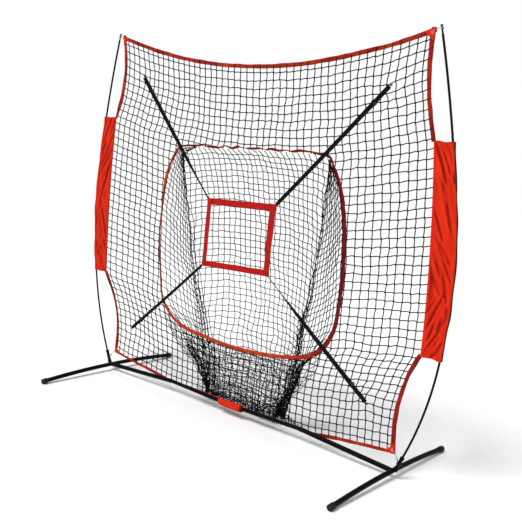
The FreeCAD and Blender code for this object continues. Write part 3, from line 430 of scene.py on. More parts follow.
def make_twine(name, light, dark, twist):
    """Twisted plies, drawn from how far along its strand a point is."""
    s = Surface(name, roughness=0.75, specular=0.06)
    along = s.attribute("along")
    wobble = s.math("MULTIPLY", s.noise(420.0, 2.0), 4.0)
    phase = s.math("ADD", s.math("MULTIPLY", along, twist * 2 * math.pi), wobble)
    ply = s.math("SINE", phase)
    shade = s.math("ADD", s.math("MULTIPLY", ply, 0.3), s.noise(55.0, 4.0))
    s.colour(s.ramp(shade, (0.2, dark), (0.85, light)))
    s.rough(s.noise(160.0, 3.0), 0.5, 0.8)
    s.relief(ply, 0.0004, 0.6)
    return s.material


def make_oxford(name, bright, deep, fold):
    """A plain weave of coarse filament yarn, faded in clouds, and darkened by the tone attribute towards its
    third colour, a painted shade colour, in creases and on shaded ends and undersides.
    """
    s = Surface(name, roughness=0.6, specular=0.08, coords="UV")
    warp = s.wave(320.0, "X", distortion=0.6)
    weft = s.wave(320.0, "Y", distortion=0.6)
    weave = s.math("MULTIPLY", warp, weft)
    cloud = s.noise(9.0, 5.0)
    slub = s.noise(130.0, 3.0, (1.0, 9.0, 1.0))
    base = s.ramp(cloud, (0.25, deep), (0.72, bright))
    yarn = s.math("ADD", weave, s.math("MULTIPLY", slub, 0.5))
    shade = s.ramp(yarn, (0.1, (0.72, 0.68, 0.68)), (0.9, (1.0, 1.0, 1.0)))
    # Painted shade: the tone attribute mixes in the third colour.
    folded = s.mix(s.attribute("tone"), base, fold)
    s.colour(s.mix(0.75, folded, shade, "MULTIPLY"))
    s.rough(slub, 0.42, 0.66)
    s.relief(weave, 0.0005, 0.55)
    s.relief(slub, 0.0004, 0.3)
    return s.material


def make_binding():
    """Ribbed binding tape: bright where the tone attribute is low, and dark where it is high, which on the
    mouth is partly the tape's rolled face and partly painted shade.
    """
    s = Surface("binding_finish", roughness=0.8, specular=0.1, coords="UV")
    rib = s.wave(420.0, "X", distortion=0.4)
    selvedge = s.wave(260.0, "Y", distortion=0.3)
    cloud = s.math("MULTIPLY", s.math("SUBTRACT", s.noise(22.0, 4.0), 0.5), 0.5)
    tone = s.math("ADD", s.attribute("tone"), cloud)
    base = s.ramp(
        tone, (0.0, (0.74, 0.070, 0.010)), (0.35, (0.46, 0.030, 0.008)),
        (0.7, (0.25, 0.009, 0.005)), (1.0, (0.085, 0.004, 0.003)),
    )
    shade = s.ramp(s.math("MULTIPLY", rib, selvedge), (0.0, (0.66, 0.62, 0.62)), (0.7, (1.0, 1.0, 1.0)))
    s.colour(s.mix(0.7, base, shade, "MULTIPLY"))
    s.relief(rib, 0.0005, 0.6)
    s.relief(selvedge, 0.0004, 0.4)
    return s.material


def make_webbing():
    """Flat polyester webbing with a herringbone face."""
    s = Surface("webbing_finish", roughness=0.75, specular=0.1, coords="UV")
    left = s.wave(250.0, "DIAGONAL", s.stretched((1.0, 1.0, 0.0)), 0.3)
    right = s.wave(250.0, "DIAGONAL", s.stretched((1.0, -1.0, 0.0)), 0.3)
    pattern = s.mix(s.wave(28.0, "Y"), (0, 0, 0), (1, 1, 1))
    height = s.mix(pattern, left, right)
    base = s.ramp(s.noise(14.0, 4.0), (0.3, (0.38, 0.004, 0.003)), (0.75, (0.47, 0.010, 0.006)))
    shade = s.ramp(height, (0.05, (0.70, 0.66, 0.66)), (0.8, (1.0, 1.0, 1.0)))
    s.colour(s.mix(0.65, base, shade, "MULTIPLY"))
    s.rough(s.noise(60.0, 3.0), 0.5, 0.72)
    s.relief(height, 0.0005, 0.5)
    return s.material


def make_elastic():
    """Black woven elastic: rubber ribs along it, and fine yarn across."""
    s = Surface("elastic_finish", roughness=0.85, specular=0.05, coords="UV")
    rib = s.wave(190.0, "Y", distortion=0.2)
    yarn = s.wave(520.0, "X", distortion=0.8)
    ribbed = s.math("ADD", rib, s.noise(40.0, 4.0))
    s.colour(s.ramp(ribbed, (0.4, (0.001, 0.001, 0.001)), (0.75, (0.006, 0.006, 0.006))))
    s.rough(s.noise(90.0, 3.0), 0.65, 0.85)
    s.relief(rib, 0.0005, 0.6)
    s.relief(yarn, 0.0003, 0.4)
    return s.material


def make_cord_finish():
    s = Surface("grey_cord_finish", roughness=0.7, sheen=0.3, specular=0.3)
    along = s.attribute("along")
    plait = s.math("SINE", s.math("MULTIPLY", along, 2600.0))
    wobble = s.math("MULTIPLY", s.noise(300.0), 8.0)
    cross = s.math("SINE", s.math("ADD", s.math("MULTIPLY", along, 1500.0), wobble))
    both = s.math("MULTIPLY", plait, cross)
    s.colour(s.ramp(both, (0.2, (0.13, 0.15, 0.13)), (0.8, (0.34, 0.37, 0.33))))
    s.relief(both, 0.0004, 0.6)
    return s.material


def make_hook_tape():
    """The hooks of hook-and-loop tape: a dense field of small dots."""
    s = Surface("hook_tape_finish", roughness=0.85, specular=0.2)
    dots = node(s.tree, "TexVoronoi", {"Vector": s.place, "Scale": 700.0}).outputs["Distance"]
    s.colour(s.ramp(dots, (0.1, (0.05, 0.045, 0.045)), (0.6, (0.008, 0.008, 0.008))))
    s.relief(dots, 0.0006, 0.8)
    return s.material


def make_floor():
    s = Surface("studio_floor", roughness=0.9, specular=0.15)
    s.colour(s.ramp(s.noise(1.5, 4.0), (0.3, (0.955, 0.955, 0.955)), (0.7, (0.97, 0.97, 0.97))))
    s.relief(s.noise(350.0, 2.0), 0.0003, 0.2)
    return s.material


powder_coat = make_powder_coat()
fibreglass = make_fibreglass()
rubber = make_rubber()
hook_plastic = make_plastic()
zinc = make_steel("zinc_plate_finish", (0.62, 0.62, 0.60), 0.22, 0.42)
spring_steel = make_steel("spring_steel_finish", (0.42, 0.43, 0.45), 0.2, 0.35)
twine = make_twine("twine_finish", (0.006, 0.006, 0.0063), (0.001, 0.001, 0.001), 330.0)
# The third colour of each oxford is its painted shade colour, mixed in by the tone attribute.
channel_cloth = make_oxford(
    "black_oxford_finish", (0.008, 0.007, 0.007), (0.004, 0.004, 0.004), (0.002, 0.002, 0.002)
)
oxford = make_oxford("red_oxford_finish", (0.80, 0.030, 0.005), (0.66, 0.018, 0.003), (0.26, 0.004, 0.001))
binding = make_binding()
webbing = make_webbing()
elastic = make_elastic()
grey_cord = make_cord_finish()
hook_tape = make_hook_tape()
red_thread = make_twine("red_thread_finish", (0.62, 0.030, 0.010), (0.34, 0.012, 0.005), 900.0)


def paint_cad(words, material):
    for name, piece in nodes.items():
        if any(name.startswith(word) for word in words):
            if not piece.material_slots:
                piece.data.materials.append(material)
            for place in piece.material_slots:
                place.material = material


paint_cad(["base_tube", "foot_left", "foot_right", "pole_socket", "pole_tip", "tip_knob"], powder_coat)
paint_cad(["pole_lower", "pole_middle", "pole_upper"], fibreglass)
paint_cad(["foot_cap"], rubber)
paint_cad(["ferrules", "snap_button", "corner_eyelets"], zinc)
paint_cad(["snap_spring"], spring_steel)
paint_cad(["strap_adjuster", "net_hooks", "corner_hook"], hook_plastic)


# ------------------------------------------------------------------ the net's own plane and edges


def net_y(z):
    """The net leans forward a little as it rises."""
    return 0.0226 - 0.0386 * z


def pole_y(z):
    """The poles have their own leaning plane."""
    return 0.0011 - 0.0298 * z


def bowed(start, end, bow, count=40):
    t = np.linspace(0, 1, count)[:, None]
    start, end, bow = np.array(start), np.array(end), np.array(bow)
    return start + (end - start) * t + bow * 4 * t * (1 - t)


def join(*lines):
    return np.concatenate([lines[0]] + [line[1:] for line in lines[1:]])


TOP_CORNER, SLEEVE_TOP = (1.058, 2.131), (1.114, 1.636)
SLEEVE_BOTTOM, LOW_CORNER, HEM_KNEE = (1.160, 0.641), (1.060, 0.118), (0.560, 0.056)


def flipped(p, side):
    return (p[0] * side, p[1])


def side_edges(side, upper_bow, lower_bow):
    """The net's side from its low corner up: a free edge, the sleeve's seam and a free edge."""
    low, sleeve_low = flipped(LOW_CORNER, side), flipped(SLEEVE_BOTTOM, side)
    sleeve_top, top = flipped(SLEEVE_TOP, side), flipped(TOP_CORNER, side)
    lower = bowed(low, sleeve_low, (-side * lower_bow, 0.012))
    seam = bowed(sleeve_low, sleeve_top, (side * 0.015, 0))
    upper = bowed(sleeve_top, top, (-side * upper_bow, 0))
    return lower, seam, upper


left_edges = side_edges(-1, 0.040, 0.052)
right_edges = side_edges(1, 0.026, 0.046)
top_edge = bowed(flipped(TOP_CORNER, -1), TOP_CORNER, (0, -0.166), 90)
hem = join(
    bowed(flipped(LOW_CORNER, -1), flipped(HEM_KNEE, -1), (0, 0.003)),
    bowed(flipped(HEM_KNEE, -1), HEM_KNEE, (0, -0.007)),
    bowed(HEM_KNEE, LOW_CORNER, (0, 0.003)),
)

# The mouth: (x, z, outward bulge of the edge to the next corner).
MOUTH = [
    (-0.530, 1.497, 0.006), (0.520, 1.527, 0.032), (0.650, 1.092, 0.006), (0.645, 0.697, 0.058),
    (0.406, 0.457, 0.033), (-0.307, 0.427, 0.048), (-0.631, 0.581, 0.015), (-0.662, 1.097, 0.033),
]
MOUTH_MIDDLE = np.array([0.0, 0.970])


def mouth_line(count=440):
    """The mouth's rim, clockwise from its top left, with its corners eased."""
    parts = []
    for (x, z, bulge), (x2, z2, _) in zip(MOUTH, MOUTH[1:] + MOUTH[:1]):
        outward = unit(np.array([-(z2 - z), x2 - x]))
        parts.append(bowed((x, z), (x2, z2), outward * bulge, 60)[:-1])
    line = np.concatenate(parts)
    line = even(np.concatenate([line, line[:1]]), count + 1)[:-1]
    return soften(line, 14, True)


mouth = mouth_line()
mouth_angle = np.unwrap(np.arctan2(mouth[:, 1] - MOUTH_MIDDLE[1], mouth[:, 0] - MOUTH_MIDDLE[0]))
mouth_reach = np.linalg.norm(mouth - MOUTH_MIDDLE, axis=1)
order = np.argsort(mouth_angle)


def beyond_mouth(x, z):
    """Above 0 outside the mouth, below 0 inside it."""
    dx, dz = x - MOUTH_MIDDLE[0], z - MOUTH_MIDDLE[1]
    angle = np.arctan2(dz, dx)
    low = mouth_angle.min()
    angle = low + np.mod(angle - low, 2 * math.pi)
    reach = np.interp(angle, mouth_angle[order], mouth_reach[order], period=2 * math.pi)
    return np.hypot(dx, dz) / reach - 1


def mouth_side(z, side):
    """How far out the mouth's rim is at a height, on one side."""
    half = mouth[mouth[:, 0] * side > 0.02]
    high = half[np.argsort(half[:, 1])]
    return np.interp(z, high[:, 1], np.abs(high[:, 0]))


# ------------------------------------------------------------------ the net panel

# Where the target's four straps hook into the net, and the target's outer corners: (x, y, z).
HOOKS = {
    ("top", "right"): (0.851, -0.0576, 1.8703), ("bottom", "right"): (0.873, 0.0017, 0.3334),
    ("top", "left"): (-0.846, -0.0581, 1.8833), ("bottom", "left"): (-0.889, 0.0021, 0.3235),
}
CORNERS = {
    ("top", "right"): (0.2277, -0.0335, 1.2463), ("bottom", "right"): (0.2023, -0.0182, 0.8496),
    ("top", "left"): (-0.2743, -0.0327, 1.2242), ("bottom", "left"): (-0.2997, -0.0173, 0.8275),
}
COLUMNS, ROWS, STEPS = 48, 46, 4

wide_ripple = Ripple(3, 0.55, 2)
knot_ripple_x, knot_ripple_z = Ripple(5, 0.17, 2), Ripple(6, 0.19, 2)


def net_surface(x, z):
    """Where a point of the flat net really is: billowed, pulled by the straps and by the sleeves."""
    flat = np.stack([x, z], -1)
    edge = smooth_step((1.13 - np.abs(x)) / 0.28)
    y = net_y(z) + 0.0045 * (1 + wide_ripple(flat)) * edge
    for key, (hx, _, hz) in HOOKS.items():
        cx, _, cz = CORNERS[key]
        pull = unit(np.array([cx - hx, cz - hz]))
        away = np.hypot(x - hx, z - hz)
        near = np.exp(-((away / 0.085) ** 2)) * smooth_step((1.06 - np.abs(x)) / 0.1)
        tip = np.exp(-((away / 0.03) ** 2))
        x = x + pull[0] * (0.016 * near + 0.006 * tip)
        z = z + pull[1] * (0.016 * near + 0.006 * tip)
        y = y - 0.0065 * np.exp(-((away / 0.035) ** 2)) * smooth_step((1.06 - np.abs(x)) / 0.1)
    by_sleeve = smooth_step((np.abs(x) - 0.98) / 0.16) * smooth_step((z - 0.35) / 0.3)
    y = y + (pole_y(z) + 0.001 - net_y(z)) * by_sleeve
    return np.stack([x, y, z], -1)


def net_grid():
    """Knots of the net: the four edges, evenly divided, and everything between them."""
    bottom, top = even(hem, COLUMNS + 1), even(top_edge, COLUMNS + 1)
    left, right = even(join(*left_edges), ROWS + 1), even(join(*right_edges), ROWS + 1)
    u = np.linspace(0, 1, COLUMNS + 1)[:, None, None]
    v = np.linspace(0, 1, ROWS + 1)[None, :, None]
    flat = (1 - v) * bottom[:, None] + v * top[:, None] + (1 - u) * left[None] + u * right[None]
    flat = flat - (
        (1 - u) * (1 - v) * bottom[0] + u * (1 - v) * bottom[-1] + (1 - u) * v * top[0] + u * v * top[-1]
    )
    i, j = np.meshgrid(np.arange(COLUMNS + 1), np.arange(ROWS + 1), indexing="ij")
    inside = np.minimum(np.minimum(i, COLUMNS - i), np.minimum(j, ROWS - j))
    free = smooth_step(inside / 3.0)
    rng = np.random.default_rng(11)
    checker = np.where((i + j) % 2, 1.0, -1.0)
    for axis, ripple, way in ((0, knot_ripple_x, 1), (1, knot_ripple_z, -1)):
        jitter = rng.normal(0, 0.0012, free.shape)
        flat[..., axis] += free * (0.0022 * ripple(flat) + jitter + way * 0.0009 * checker)
    return flat


def slack_line(knots, rng, droop, loose, step=(0, 0, 0)):
    """A strand through its knots: it bows between two of them, and steps sideways at each."""
    t = np.linspace(0, 1, STEPS, endpoint=False)
    bow = 4 * t * (1 - t)
    parts = []
    for a, b in zip(knots[:-1], knots[1:]):
        push = rng.normal(0, loose, 3) + DOWN * droop
        shift = np.outer(2 * t - 0.75, step) * rng.uniform(0.6, 1.3)
        parts.append(a + (b - a) * t[:, None] + push * bow[:, None] + shift)
    return np.concatenate(parts + [knots[-1:]])


def outside_runs(line):
    """The parts of a strand that lie outside the mouth, cut at its rim."""
    level = beyond_mouth(line[:, 0], line[:, 2])
    runs, now = [], []
    for k in range(len(line)):
        if k and (level[k] > 0) != (level[k - 1] > 0):
            t = level[k - 1] / (level[k - 1] - level[k])
            cut = line[k - 1] + (line[k] - line[k - 1]) * t
            if level[k] > 0:
                now = [cut]
            else:
                runs.append(now + [cut])
                now = []
        if level[k] > 0:
            now.append(line[k])
    runs.append(now)
    return [np.array(run) for run in runs if len(run) > 1]


def make_net_panel():
    rng = np.random.default_rng(12)
    flat = net_grid()
    knots = net_surface(flat[..., 0], flat[..., 1])
    across, upright, lumps = Strands(5), Strands(5), Strands(5)
    for j in range(1, ROWS):
        for run in outside_runs(slack_line(knots[:, j], rng, 0.0008, 0.0010, (0, 0, 0.0024))):
            across.add(run, TWINE, (0, 0, 1))
    for i in range(1, COLUMNS):
        for run in outside_runs(slack_line(knots[i], rng, 0.0, 0.0010, (0.0016, 0, 0))):
            upright.add(run, TWINE, (1, 0, 0))
    for i in range(1, COLUMNS):
        for j in range(1, ROWS):
            if beyond_mouth(knots[i, j, 0], knots[i, j, 2]) > 0.012:
                squeeze = np.array([1.25, 0.75, 0.95]) * rng.uniform(0.9, 1.15)
                lumps.bead(knots[i, j], TWINE * 1.75 * squeeze, random_turn(rng))
    panel = across.piece("net_rows", twine, slot="net_twine")
    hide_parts("net_panel")
    upright.piece("net_columns", twine, slot="net_twine")
    lumps.piece("net_knots", twine, slot="net_twine")


make_net_panel()


# ------------------------------------------------------------------ the ball pocket


def table(*rows):
    rows = np.array(rows, float)
    rows = rows[np.argsort(rows[:, 0])]

    def look(z):
        return np.interp(z, rows[:, 0], rows[:, 1])

    fine = np.linspace(rows[0, 0], rows[-1, 0], 160)
    values = soften(look(fine)[:, None], 60, False)[:, 0]
    return lambda z: np.interp(z, fine, values)


# The bag by height: half-width at its side folds, the folds' depth, the depth in the middle, how
# far a row drops from the rim to the fold, and how far it rises again towards the middle.
fold_half = table((0.0, 0.27), (0.29, 0.33), (0.44, 0.365), (0.59, 0.395), (0.79, 0.44), (1.0, 0.457),
                  (1.2, 0.495), (1.4, 0.515), (1.53, 0.53))
fold_depth = table((0.0, 0.07), (0.4, 0.09), (0.8, 0.075), (1.1, 0.062), (1.38, 0.045), (1.53, 0.01))
back_depth = table((0.0, 0.165), (0.4, 0.185), (0.56, 0.185), (0.8, 0.168), (1.1, 0.14), (1.38, 0.09),
                   (1.53, 0.012))
drop = table((0.0, 0.0), (0.3, 0.05), (0.45, 0.10), (0.6, 0.15), (0.9, 0.17), (1.1, 0.15), (1.33, 0.11),
             (1.50, 0.02))
rise = table((0.0, 0.0), (0.4, 0.03), (0.7, 0.045), (1.2, 0.05), (1.42, 0.045), (1.53, 0.0))
front_half = table((0.0, 0.29), (0.1, 0.33), (0.25, 0.40), (0.42, 0.47), (0.50, 0.55))
BAG_CELL = 0.037
BACK_CELLS, SIDE_CELLS = 28, 10
pocket_ripple = [Ripple(21 + k, 0.24) for k in range(3)]
pocket_fine = [Ripple(31 + k, 0.07) for k in range(3)]


def gathered(half, k):
    """Where the k-th column is on half a back wall, and how crowded it is: full cells, then pleats."""
    cells, tight = BACK_CELLS / 2, 0.20
    full = np.clip((half / BAG_CELL - tight * cells) / (1 - tight), 0, cells)
    squeeze = np.where(full >= cells, half / (cells * BAG_CELL), 1.0)
    packed = (half - full * BAG_CELL) / np.maximum(cells - full, 1e-6)
    place = np.where(k <= full, k * BAG_CELL * squeeze, full * BAG_CELL * squeeze + (k - full) * packed)
    crowd = np.where(k <= full, 0.0, 1 - packed / BAG_CELL)
    return np.minimum(place, half), np.clip(crowd, 0, 1)


def back_point(z, k):
    """A point of the back wall: z is the fold's height on its row, k the column from the middle."""
    half = fold_half(z)
    place, crowd = gathered(half, abs(k))
    share = np.clip(place / half, 0, 1)
    lift = rise(z) * (1 - share**3.5)
    edge, deep = fold_depth(z), back_depth(z)
    x = math.copysign(1, k) * place - 0.005 * smooth_step(z / 1.5)
    pleat = (1 if int(round(abs(k))) % 2 else -1) * 0.010 * crowd
    y = net_y(z) + edge + (deep - edge) * (1 - share**2.4) + pleat
    tilt = 0.030 * (x / 1.05) * smooth_step((z - 1.15) / 0.3)
    return np.array([x, y, z + lift + tilt])


def rim_height(z):
    """Where on the rim a row starts whose fold is at height z."""
    return z + drop(z)


def pocket_levels():
    """The fold's height for each row: full cells down to the floor, then a limp heap."""
    z, out = 1.465, []
    while z > 0.13:
        out.append(z)
        z -= BAG_CELL * 0.985
    while z > 0.026:
        out.append(z)
        z -= 0.013
    return out


def shaken(p, amount=1.0):
    """Cloth is never even: a slow wander and a quick one, less near the rim."""
    p = np.asarray(p, float)
    low = smooth_step((0.62 - p[..., 2]) / 0.5)
    slow, quick = 0.003 + 0.006 * low, 0.0010 + 0.0024 * low
    moved = p.copy()
    for axis in range(3):
        moved[..., axis] += amount * (slow * pocket_ripple[axis](p) + quick * pocket_fine[axis](p))
    moved[..., 2] = np.maximum(moved[..., 2], LOWEST)
    return moved


def front_depth(z):
    """How deep the bag's front lies below the rim: it hangs back behind the base tube."""
    return net_y(z) + 0.008 + 0.068 * smooth_step((0.42 - z) / 0.40)


def rim_point(side, z):
    """A point on the mouth's rim at one side and height, or on the bag's front edge below it."""
    low = 0.50
    if z >= low:
        reach = float(mouth_side(z, side))
        return np.array([side * reach, net_y(z) + 0.003, z])
    reach = float(front_half(z)) * (0.97 if side > 0 else 1.0)
    return np.array([side * reach, front_depth(z), z])


def side_point(side, z, c):
    """A point of a side wall, c from 0 at the fold to 1 at the rim."""
    inner, outer = back_point(z, side * BACK_CELLS / 2), rim_point(side, rim_height(z))
    bend = 0.020 * math.sin(math.pi * c) * smooth_step((1.5 - z) / 0.4)
    p = inner + (outer - inner) * c
    return p + np.array([0, bend, -0.35 * bend])


def make_pocket():
    rng = np.random.default_rng(17)
    levels = pocket_levels()
    k_all = np.arange(-BACK_CELLS // 2, BACK_CELLS // 2 + 1)
    grid = {}
    for j, z in enumerate(levels):
        for k in k_all:
            grid[j, int(k)] = back_point(z, float(k) if k else 1e-6)
        for side in (-1, 1):
            for c in range(1, SIDE_CELLS + 1):
                grid[j, side * (BACK_CELLS // 2 + c)] = side_point(side, z, (c / SIDE_CELLS) ** 1.15)
    edge = BACK_CELLS // 2 + SIDE_CELLS
    everything = list(range(-edge, edge + 1))
    knots = np.array([[grid[j, k] for k in everything] for j in range(len(levels))])
    pinned = knots.copy()
    knots = shaken(knots)
    for j, z in enumerate(levels):
        if rim_height(z) > 0.5:
            knots[j, 0], knots[j, -1] = pinned[j, 0], pinned[j, -1]
    crowded = smooth_step((0.75 - knots[..., 2]) / 0.6)[..., None]
    knots = knots + rng.normal(0, 1, knots.shape) * (0.0012 + 0.0016 * crowded)
    knots[..., 2] = np.maximum(knots[..., 2], LOWEST)

    back, walls, lumps = Strands(5), Strands(5), Strands(5)
    first, last = SIDE_CELLS, len(everything) - 1 - SIDE_CELLS
    for j in range(len(levels)):
        row = slack_line(knots[j], rng, 0.0012, 0.0016)
        back.add(row, BAG_TWINE, (0.0, 0.15, 1.0))
    for n in range(len(everything)):
        line = knots[:, n]
        if first <= n <= last:
            share = (n - first) / (last - first)
            x = -0.53 + 1.05 * share
            rim = np.array([x, net_y(1.51) + 0.003, 1.499 + 0.030 * share])
            # The bag's floor: the column runs on towards the front, limp on the ground.
            end = line[-1]
            reach = np.linspace(0, 1, 5)[1:, None]
            ahead = np.array([end[0] * 0.97, 0.092, 0.018])
            under = end + (ahead - end) * reach
            under[:, 2] += 0.006 * pocket_fine[0](under)
            under[:, 0] += 0.010 * pocket_fine[1](under)
            under[:, 2] = np.maximum(under[:, 2], LOWEST)
            line = np.concatenate([[rim], line, under])
            back.add(slack_line(line, rng, 0.0, 0.0016), BAG_TWINE, (1, 0, 0))
        else:
            walls.add(slack_line(line, rng, 0.0, 0.0016), BAG_TWINE, (1, 0, 0))
    for j in range(len(levels)):
        for n in range(1, len(everything) - 1):
            lumps.bead(knots[j, n], BAG_TWINE * 1.7 * rng.uniform(0.85, 1.2, 3), random_turn(rng))
    # Slack netting bunched along the folds and on the ground: loose strands that zigzag.
    bunch = Strands(5)

    def zigzag(count):
        return np.where(np.arange(count) % 2, 1.0, -1.0) * rng.uniform(0.3, 1.0, count)

    for side in (-1, 1):
        for _ in range(17):
            high = 1.40 - 1.36 * rng.uniform(0, 1) ** 0.7
            z = np.arange(high, max(high - rng.uniform(0.12, 0.34), 0.02), -0.016)
            wide = 0.006 + 0.030 * smooth_step((1.0 - z) / 0.9)
            zig = zigzag(len(z))
            line = np.array([back_point(h, side * BACK_CELLS / 2) for h in z])
            line[:, 0] += side * wide * (rng.normal(0, 0.9) + 0.6 * zig)
            line[:, 1] += wide * 0.5 * zig * rng.normal(0, 1)
            bunch.add(shaken(line, 1.0), BAG_TWINE * 0.9, (1, 0, 0))
        for _ in range(8):
            high = 0.47 - 0.2 * rng.uniform(0, 1)
            z = np.arange(high, max(high - rng.uniform(0.15, 0.34), 0.05), -0.015)
            zig = zigzag(len(z))
            line = np.array([rim_point(side, h) for h in z])
            line[:, 0] += side * (0.012 * zig - abs(rng.normal(0, 0.030)))
            line[:, 1] += 0.012 * zig + abs(rng.normal(0, 0.012))
            bunch.add(shaken(line, 0.8), BAG_TWINE * 0.9, (1, 0, 0))
    for _ in range(22):
        x = np.arange(rng.uniform(-0.33, 0.30), 0.42, 0.016)[: int(rng.integers(7, 16))]
        zig = zigzag(len(x))
        heap = 0.035 + 0.075 * rng.uniform(0, 1) * smooth_step((x[0] + 0.45) / 0.6)
        y = 0.105 + 0.05 * rng.uniform(0, 1) + 0.010 * zig
        bunch.add(shaken(np.stack([x, y, heap + 0.010 * zig], 1), 0.8), BAG_TWINE * 0.9, (0, 0, 1))
    bunch.piece("pocket_fold_slack", twine, slot="net_twine")

    # The front of the bag below the rim.
    front = Strands(5)
    columns = 28
    low = mouth[mouth[:, 1] < 0.56]
    low = low[np.argsort(low[:, 0])]
    rim = even(low, columns + 1)
    depth_steps, floor_rows = 14, 5
    rows = depth_steps + floor_rows
    sheet = np.zeros((rows, columns + 1, 3))
    for n in range(columns + 1):
        share = 2 * n / columns - 1
        x0, z0 = rim[n]
        for m in range(rows):
            t = min(1.0, m / depth_steps)
            z = z0 + (0.074 - z0) * t - 0.008 * max(0, m - depth_steps)
            target = math.copysign(abs(share) ** 0.8, share) * float(front_half(z)) * 0.97
            x = x0 + (target - x0) * smooth_step(t * 1.1)
            y = front_depth(z) - 0.003 + 0.012 * math.sin(math.pi * t) * (1 - abs(share) ** 3)
            sheet[m, n] = (x, y, z)
    shaken_sheet = shaken(sheet, 0.8)
    blend = np.minimum(1, np.arange(rows) / 2.0)[:, None, None]
    sheet = sheet + (shaken_sheet - sheet) * blend + rng.normal(0, 0.0014, sheet.shape) * blend
    sheet[..., 1] = np.maximum(sheet[..., 1], net_y(sheet[..., 2]) + 0.001)
    for m in range(1, rows):
        front.add(slack_line(sheet[m], rng, 0.0014, 0.0018), BAG_TWINE * 0.75, (0.0, 0.1, 1.0))
    for n in range(columns + 1):
        front.add(slack_line(sheet[:, n], rng, 0.0, 0.0018), BAG_TWINE * 0.75, (1, 0, 0))
    for m in range(1, rows):
        for n in range(columns + 1):
            lumps.bead(sheet[m, n], BAG_TWINE * 1.3 * rng.uniform(0.85, 1.2, 3), random_turn(rng))

    bag = back.piece("pocket_back", twine, slot="net_twine")
    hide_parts("ball_pocket")
    walls.piece("pocket_sides", twine, slot="net_twine")
    front.piece("pocket_front", twine, slot="net_twine")
    lumps.piece("pocket_knots", twine, slot="net_twine")


make_pocket()


# ------------------------------------------------------------------ bindings


def in_net_plane(flat):
    """Unit normal, to the left of the way, of a line in the net's plane."""
    way = unit(np.gradient(flat, axis=0))
    return np.stack([way[:, 1], -way[:, 0]], 1)


def lift_line(flat, front=0.0):
    p = net_surface(flat[:, 0].copy(), flat[:, 1].copy())
    p[:, 1] -= front
    return p


def turned(across, way, angle):
    """The direction of a tape's width, rolled about its length by an angle."""
    way, across = unit(way), unit(across)
    face = np.cross(way, across)
    return across * np.cos(angle)[:, None] + face * np.sin(angle)[:, None]


def make_mouth_tape():
    n = len(mouth)
    closed = np.concatenate([mouth[-3:], mouth, mouth[:3]])
    outward = -in_net_plane(closed)[3:-3]
    where = mouth - MOUTH_MIDDLE
    angle = np.arctan2(where[:, 1], where[:, 0])
    # How much each point belongs to each side of the mouth.
    top = np.exp(-(((angle - 1.57) / 0.72) ** 4))
    right = np.exp(-(((angle + 0.05) / 0.75) ** 4))
    bottom = np.exp(-(((angle + 1.57) / 0.85) ** 4))
    left_angle = np.mod(angle, 2 * math.pi) - math.pi
    left = np.exp(-((left_angle / 0.62) ** 4))
    patch = np.exp(-(((mouth[:, 1] - 1.30) / 0.075) ** 2)) * (mouth[:, 0] < -0.5)
    total = top + right + bottom + left + 1e-6
    s = lengths(np.concatenate([mouth, mouth[:1]]))[:-1]
    wave = np.sin(s * 52) * np.sin(s * 23 + 1.0)
    width = (0.0140 * top + 0.0265 * right + 0.0215 * bottom + 0.0110 * left) / total
    width = width + 0.0075 * patch + 0.0022 * wave * top
    # The tone darkens the binding most along the mouth's top and right sides and least along its bottom:
    # partly the tape's rolled face, partly painted shade.
    tone = (0.74 * top + 0.86 * right + 0.22 * bottom + 0.42 * left) / total - 0.35 * patch
    roll = (0.9 * top + 0.15 * right - 0.1 * bottom + 0.6 * left) / total
    roll = roll + 0.7 * top * np.sin(s * 41 + 0.4)
    flat = mouth + outward * (width * 0.45)[:, None]
    ripple = Ripple(41, 0.09, 2)
    flat = flat + outward * (0.0050 * top * ripple(mouth * 1.0) + 0.0009 * ripple(mouth * 2.3))[:, None]
    line = lift_line(flat, 0.0026)
    across = np.stack([outward[:, 0], np.zeros(n), outward[:, 1]], 1)
    way = np.roll(line, -1, 0) - np.roll(line, 1, 0)
    across = turned(across, way, roll * 0.8)
    loop = np.concatenate([line[-2:], line, line[:2]])
    wide = np.concatenate([across[-2:], across, across[:2]])
    sections, face = strap_sections(
        loop, wide, np.concatenate([width[-2:], width, width[:2]]), 0.0022,
        np.full(n + 4, 0.0012),
    )
    sections, face = sections[2:-2], face[2:-2]
    tape = loft("mouth_binding", sections, binding, closed=True, tone=tone, slot="red_binding")
    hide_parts("mouth_tape")
    sewn = Strands(4)
    rng = np.random.default_rng(43)
    for offset in (-0.34, 0.34):
        row = line + across * (offset * width)[:, None]
        row = np.concatenate([row, row[:1]])
        outward_face = np.concatenate([face, face[:1]])
        sign = np.sign((outward_face @ OUTWARD).mean())
        stitch_row(sewn, row, outward_face * sign, rng, lift=0.0014)
    sewn.piece("mouth_stitches", red_thread, slot="red_binding")


